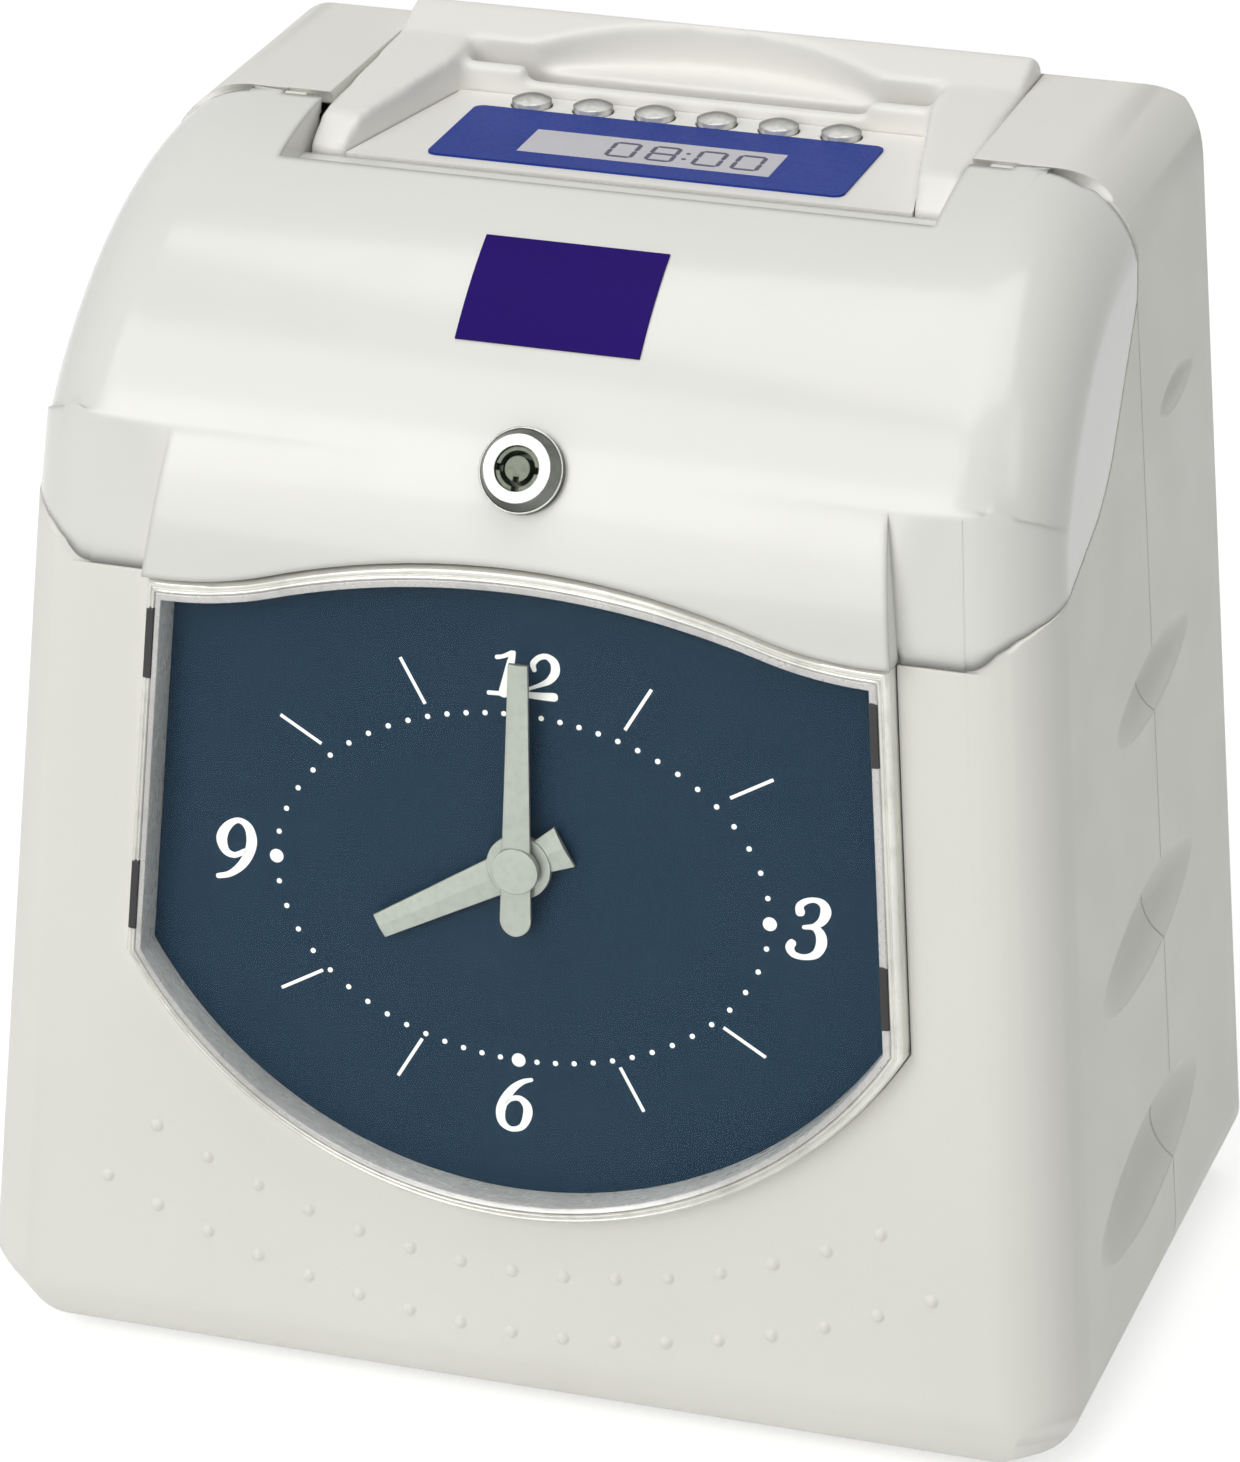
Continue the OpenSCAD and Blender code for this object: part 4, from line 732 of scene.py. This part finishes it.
def loop_piece(loops):
    """Faces between loops of points, the last joined to the first."""
    form = bmesh.new()
    rows = [[form.verts.new(p) for p in loop] for loop in loops]
    for a, b in zip(rows, rows[1:] + rows[:1]):
        for i in range(len(a)):
            j = (i + 1) % len(a)
            form.faces.new((a[i], a[j], b[j], b[i]))
    piece = formed(form, "loops")
    bpy.ops.object.mode_set(mode="EDIT")
    bpy.ops.mesh.select_all(action="SELECT")
    bpy.ops.mesh.normals_make_consistent(inside=False)
    bpy.ops.object.mode_set(mode="OBJECT")
    bpy.ops.object.shade_smooth_by_angle(angle=LOOP_ANGLE)
    return piece


def ringed(profile):
    return loop_piece([[(x, s, h) for x, s in window_loop(share)] for share, h in profile])


def sheet_inside(even, low, high, hole=0.0, hole_s=0.0):
    """A flat sheet of the window's shape, with a round hole where one is given."""
    edges = [window_loop(0.0, even)]
    if hole:
        turns = [2 * math.pi * k / HOLE_STEPS for k in range(HOLE_STEPS)]
        edges.append([(hole * math.cos(t), hole_s + hole * math.sin(t)) for t in turns])
    form = bmesh.new()
    for loop in edges:
        verts = [form.verts.new((x, s, low)) for x, s in loop]
        for i, v in enumerate(verts):
            form.edges.new((v, verts[(i + 1) % len(verts)]))
    piece = formed(form, "sheet")
    bpy.ops.object.mode_set(mode="EDIT")
    bpy.ops.mesh.select_all(action="SELECT")
    bpy.ops.mesh.fill()
    bpy.ops.object.mode_set(mode="OBJECT")
    drawn_up(high - low)
    return piece


def clip_block(width, length, height):
    """A retaining block with eased edges."""
    bpy.ops.mesh.primitive_cube_add(size=1)
    block = bpy.context.object
    block.scale = (width, length, height)
    bpy.ops.object.transform_apply(location=True, rotation=True, scale=True)
    bpy.ops.object.mode_set(mode="EDIT")
    bpy.ops.mesh.select_all(action="SELECT")
    bpy.ops.mesh.bevel(offset=BLOCK_EASE, segments=2, affect="EDGES")
    bpy.ops.object.mode_set(mode="OBJECT")
    return block


def window():
    """Clear pane, ridged rim, its inner seat, the dial card and the four blocks."""
    rim = ringed(RIM_SECTION)
    settle(rim, "window_rim", FACE, RIM_GLOSS, "case")
    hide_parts("window_lens")
    seat = ringed(SEAT_SECTION)
    settle(seat, "window_seat", FACE, RIM_SEAT, "case")
    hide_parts("window_lens")
    pane = sheet_inside(PANE_IN, PANE_LOW, PANE_HIGH)
    settle(pane, "window_pane", FACE, FINISH["clear"], "case")
    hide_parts("window_lens")
    card = sheet_inside(CARD_IN, CARD_LOW, CARD_HIGH, CARD_HOLE, CARD_HOLE_S)
    settle(card, "dial_card", FACE, FINISH["dial_blue"], "case")
    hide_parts("dial_plate")
    blocks = []
    slant = math.atan2(KINK_X - TOP_X, WAVE_END - KINK_S)
    for s in BLOCKS_S:
        left = clip_block(1.5, 13.5, BLOCK_H)
        left.matrix_world = (Matrix.Translation((-side_line(s) + 1.0, s, 2.75))
                             @ Matrix.Rotation(-slant, 4, "Z"))
        right = clip_block(1.6, 12.0, BLOCK_H)
        right.matrix_world = (Matrix.Translation((side_line(s) - 3.4, s, 2.3))
                              @ Matrix.Rotation(slant, 4, "Z"))
        blocks += [left, right]
    clips = settle(joined(blocks), "window_blocks", FACE, FINISH["resin_black"],
                   "case")
    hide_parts("lens_clips")


MERGE = 0.000002
SHELL_ANGLE = math.radians(38)
GUIDE_GRID, GUIDE_EASE = 0.0008, 6


def own_copy(node):
    """A copy of a node with its loose faces merged, alone selected."""
    piece = nodes[node].copy()
    piece.data = nodes[node].data.copy()
    bpy.context.scene.collection.objects.link(piece)
    only(piece)
    bpy.ops.object.mode_set(mode="EDIT")
    bpy.ops.mesh.select_all(action="SELECT")
    bpy.ops.mesh.remove_doubles(threshold=MERGE)
    bpy.ops.object.mode_set(mode="OBJECT")
    return piece


def stands_for(piece, node, name, body):
    """Names a finished copy and puts it in the place of its node."""
    piece.name = name
    piece.data.name = name
    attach(piece, body)
    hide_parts(node)


def softened(node, name, body, shaped=None, joins=None):
    """A node's own form with its shading drawn smoothly over the joins of its curves."""
    piece = own_copy(node)
    if piece.data.has_custom_normals:
        bpy.ops.mesh.customdata_custom_splitnormals_clear()
    bpy.ops.object.shade_smooth_by_angle(angle=SHELL_ANGLE)
    if joins:
        for edge in piece.data.edges:
            if all(joins(piece.data.vertices[k].co) for k in edge.vertices):
                edge.use_edge_sharp = False
    if shaped:
        for vertex in piece.data.vertices:
            vertex.co = shaped(vertex.co)
    weigh = piece.modifiers.new("weigh", "WEIGHTED_NORMAL")
    weigh.keep_sharp = True
    bpy.ops.object.modifier_apply(modifier="weigh")
    stands_for(piece, node, name, body)


def moulded_form(node, name, body):
    """A node's own form drawn again on an even grid, its edges eased as a mould leaves them."""
    piece = own_copy(node)
    even = piece.modifiers.new("even", "REMESH")
    even.mode = "VOXEL"
    even.voxel_size = GUIDE_GRID
    bpy.ops.object.modifier_apply(modifier="even")
    bpy.ops.object.mode_set(mode="EDIT")
    bpy.ops.mesh.select_mode(type="VERT")
    bpy.ops.mesh.select_all(action="SELECT")
    bpy.ops.mesh.vertices_smooth(factor=0.5, repeat=GUIDE_EASE)
    bpy.ops.object.mode_set(mode="OBJECT")
    bpy.ops.object.shade_smooth()
    stands_for(piece, node, name, body)


# The hood's round and its rounded shoulders, in metres
SIDE_LEAN = math.radians(4.2)
SHOULDER = 0.017
HOOD_R = 0.077
HOOD_AXIS_Y = 0.0098
SHOULDER_AT = Vector((0.09671, 0.0, 0.1483))
SHOULDER_LOW = 0.1853
JOIN_NEAR, JOIN_FAR, JOIN_BACK = 0.0725, 0.0915, 0.0102
ON_ROUND, ON_EDGE = 0.0001, 0.00002


def shoulder_level(point):
    """Brings the lean of the rounded shoulders level with the hood's front and top."""
    inward = ((SHOULDER_AT.x - abs(point.x)) * math.cos(SIDE_LEAN)
              - (point.z - SHOULDER_AT.z) * math.sin(SIDE_LEAN))
    reach = math.hypot(point.y - HOOD_AXIS_Y, point.z - SHOULDER_AT.z)
    if point.z < SHOULDER_LOW or reach > HOOD_R - ON_ROUND:
        return point
    if not 0 < inward < SHOULDER + ON_EDGE:
        return point
    lifted = point + Vector((0, 0, inward * math.sin(SIDE_LEAN)))
    over = math.hypot(lifted.y - HOOD_AXIS_Y, lifted.z - SHOULDER_AT.z) / HOOD_R
    if over > 1:
        lifted.y = HOOD_AXIS_Y + (lifted.y - HOOD_AXIS_Y) / over
        lifted.z = SHOULDER_AT.z + (lifted.z - SHOULDER_AT.z) / over
    return lifted


def on_shoulder(point):
    """Where the hood's front and top run over into its rounded shoulders."""
    return (JOIN_NEAR < abs(point.x) < JOIN_FAR and point.z > SHOULDER_LOW
            and point.y < JOIN_BACK)


softened("front_case", "front_shell", "case")
softened("rear_case", "rear_shell", "case")
softened("hood", "hood_shell", "hood", shoulder_level, on_shoulder)
moulded_form("card_guide", "guide_throat", "case")
window()
dial_printing()
display_time()


# Floor, light and camera

FLOOR_SIZE, FLOOR_GLOW = 12.0, 0.55
ROOM_COLOUR, ROOM_LIGHT = (0.95, 1.0, 0.985, 1), 0.2
LAMP_AIM = (0, 0, 0.1)
# Each lamp's name, place, aim, size, power and colour
LAMPS = (
    ("key", (-0.9, -1.5, 1.5), LAMP_AIM, (1.4, 1.4), 10.6, (1.0, 0.995, 0.975)),
    ("front", (-0.5, -1.9, 1.0), LAMP_AIM, (1.6, 1.2), 11.8, (1.0, 0.99, 0.965)),
    ("top", (0.1, -0.2, 1.8), LAMP_AIM, (1.4, 1.2), 11.6, (1.0, 0.995, 0.97)),
    ("strip", (1.144, -0.469, 1.17), (0.086, -0.049, 0.193), (0.42, 0.62), 0.9,
     (1.0, 0.995, 0.97)))
EYE = Vector((0.3468, -1.07366, 0.6107))
VIEW_AIM = Vector((0.0189, -0.06196, 0.1393))
LENS, SENSOR = 163.26, 36.0


def seen_plainly(tree):
    """One where the background is looked at, straight on, mirrored or through glass."""
    path = tree.nodes.new("ShaderNodeLightPath")
    straight, mirrored, through = (Value(tree, path.outputs[name]) for name in (
        "Is Camera Ray", "Is Glossy Ray", "Is Transmission Ray"))
    return straight.math("MAXIMUM", mirrored).math("MAXIMUM", through)


def studio():
    bpy.ops.mesh.primitive_plane_add(size=FLOOR_SIZE, location=(0, 0, 0))
    floor = bpy.context.object
    floor.name = "floor"
    f = Finish("floor_white")
    cloud = f.ramp(f.noise(3.0, 2.0), 0.3, 0.7)
    f.set({"Base Color": f.blend(cloud, (0.9, 0.9, 0.9), (0.88, 0.88, 0.88)), "Roughness": 0.9})
    floor.data.materials.append(f.material)
    glow = f.node("ShaderNodeEmission", None, {"Color": (1.0, 1.0, 1.0), "Strength": FLOOR_GLOW})
    seen = seen_plainly(f.tree)
    lit = f.node("ShaderNodeAddShader", None, {0: Value(f.tree, f.shader.outputs[0]), 1: glow})
    both = f.node("ShaderNodeMixShader", None,
                  {0: seen, 1: Value(f.tree, f.shader.outputs[0]), 2: lit})
    f.tree.links.new(both.socket, f.tree.nodes["Material Output"].inputs["Surface"])
    world = bpy.data.worlds.new("studio")
    bpy.context.scene.world = world
    world.use_nodes = True
    tree = world.node_tree
    back = tree.nodes["Background"]
    back.inputs["Color"].default_value = ROOM_COLOUR
    back.inputs["Strength"].default_value = ROOM_LIGHT
    white = tree.nodes.new("ShaderNodeBackground")
    white.inputs["Strength"].default_value = 1.0
    mix = tree.nodes.new("ShaderNodeMixShader")
    tree.links.new(seen_plainly(tree).socket, mix.inputs[0])
    tree.links.new(back.outputs[0], mix.inputs[1])
    tree.links.new(white.outputs[0], mix.inputs[2])
    tree.links.new(mix.outputs[0], tree.nodes["World Output"].inputs["Surface"])
    for name, spot, aim, size, power, colour in LAMPS:
        bpy.ops.object.light_add(type="AREA", location=spot)
        lamp = bpy.context.object
        lamp.name = name
        lamp.data.shape = "RECTANGLE"
        lamp.data.size, lamp.data.size_y = size
        lamp.data.energy = power
        lamp.data.color = colour
        lamp.rotation_euler = (Vector(aim) - Vector(spot)).to_track_quat("-Z", "Y").to_euler()


def photo_camera():
    bpy.ops.object.camera_add(location=EYE)
    camera = bpy.context.object
    camera.rotation_euler = (VIEW_AIM - EYE).to_track_quat("-Z", "Y").to_euler()
    camera.data.lens = LENS
    camera.data.sensor_width = SENSOR
    camera.data.clip_start = 0.01
    bpy.context.scene.camera = camera
    bpy.context.scene.view_settings.view_transform = "Standard"


studio()
photo_camera()
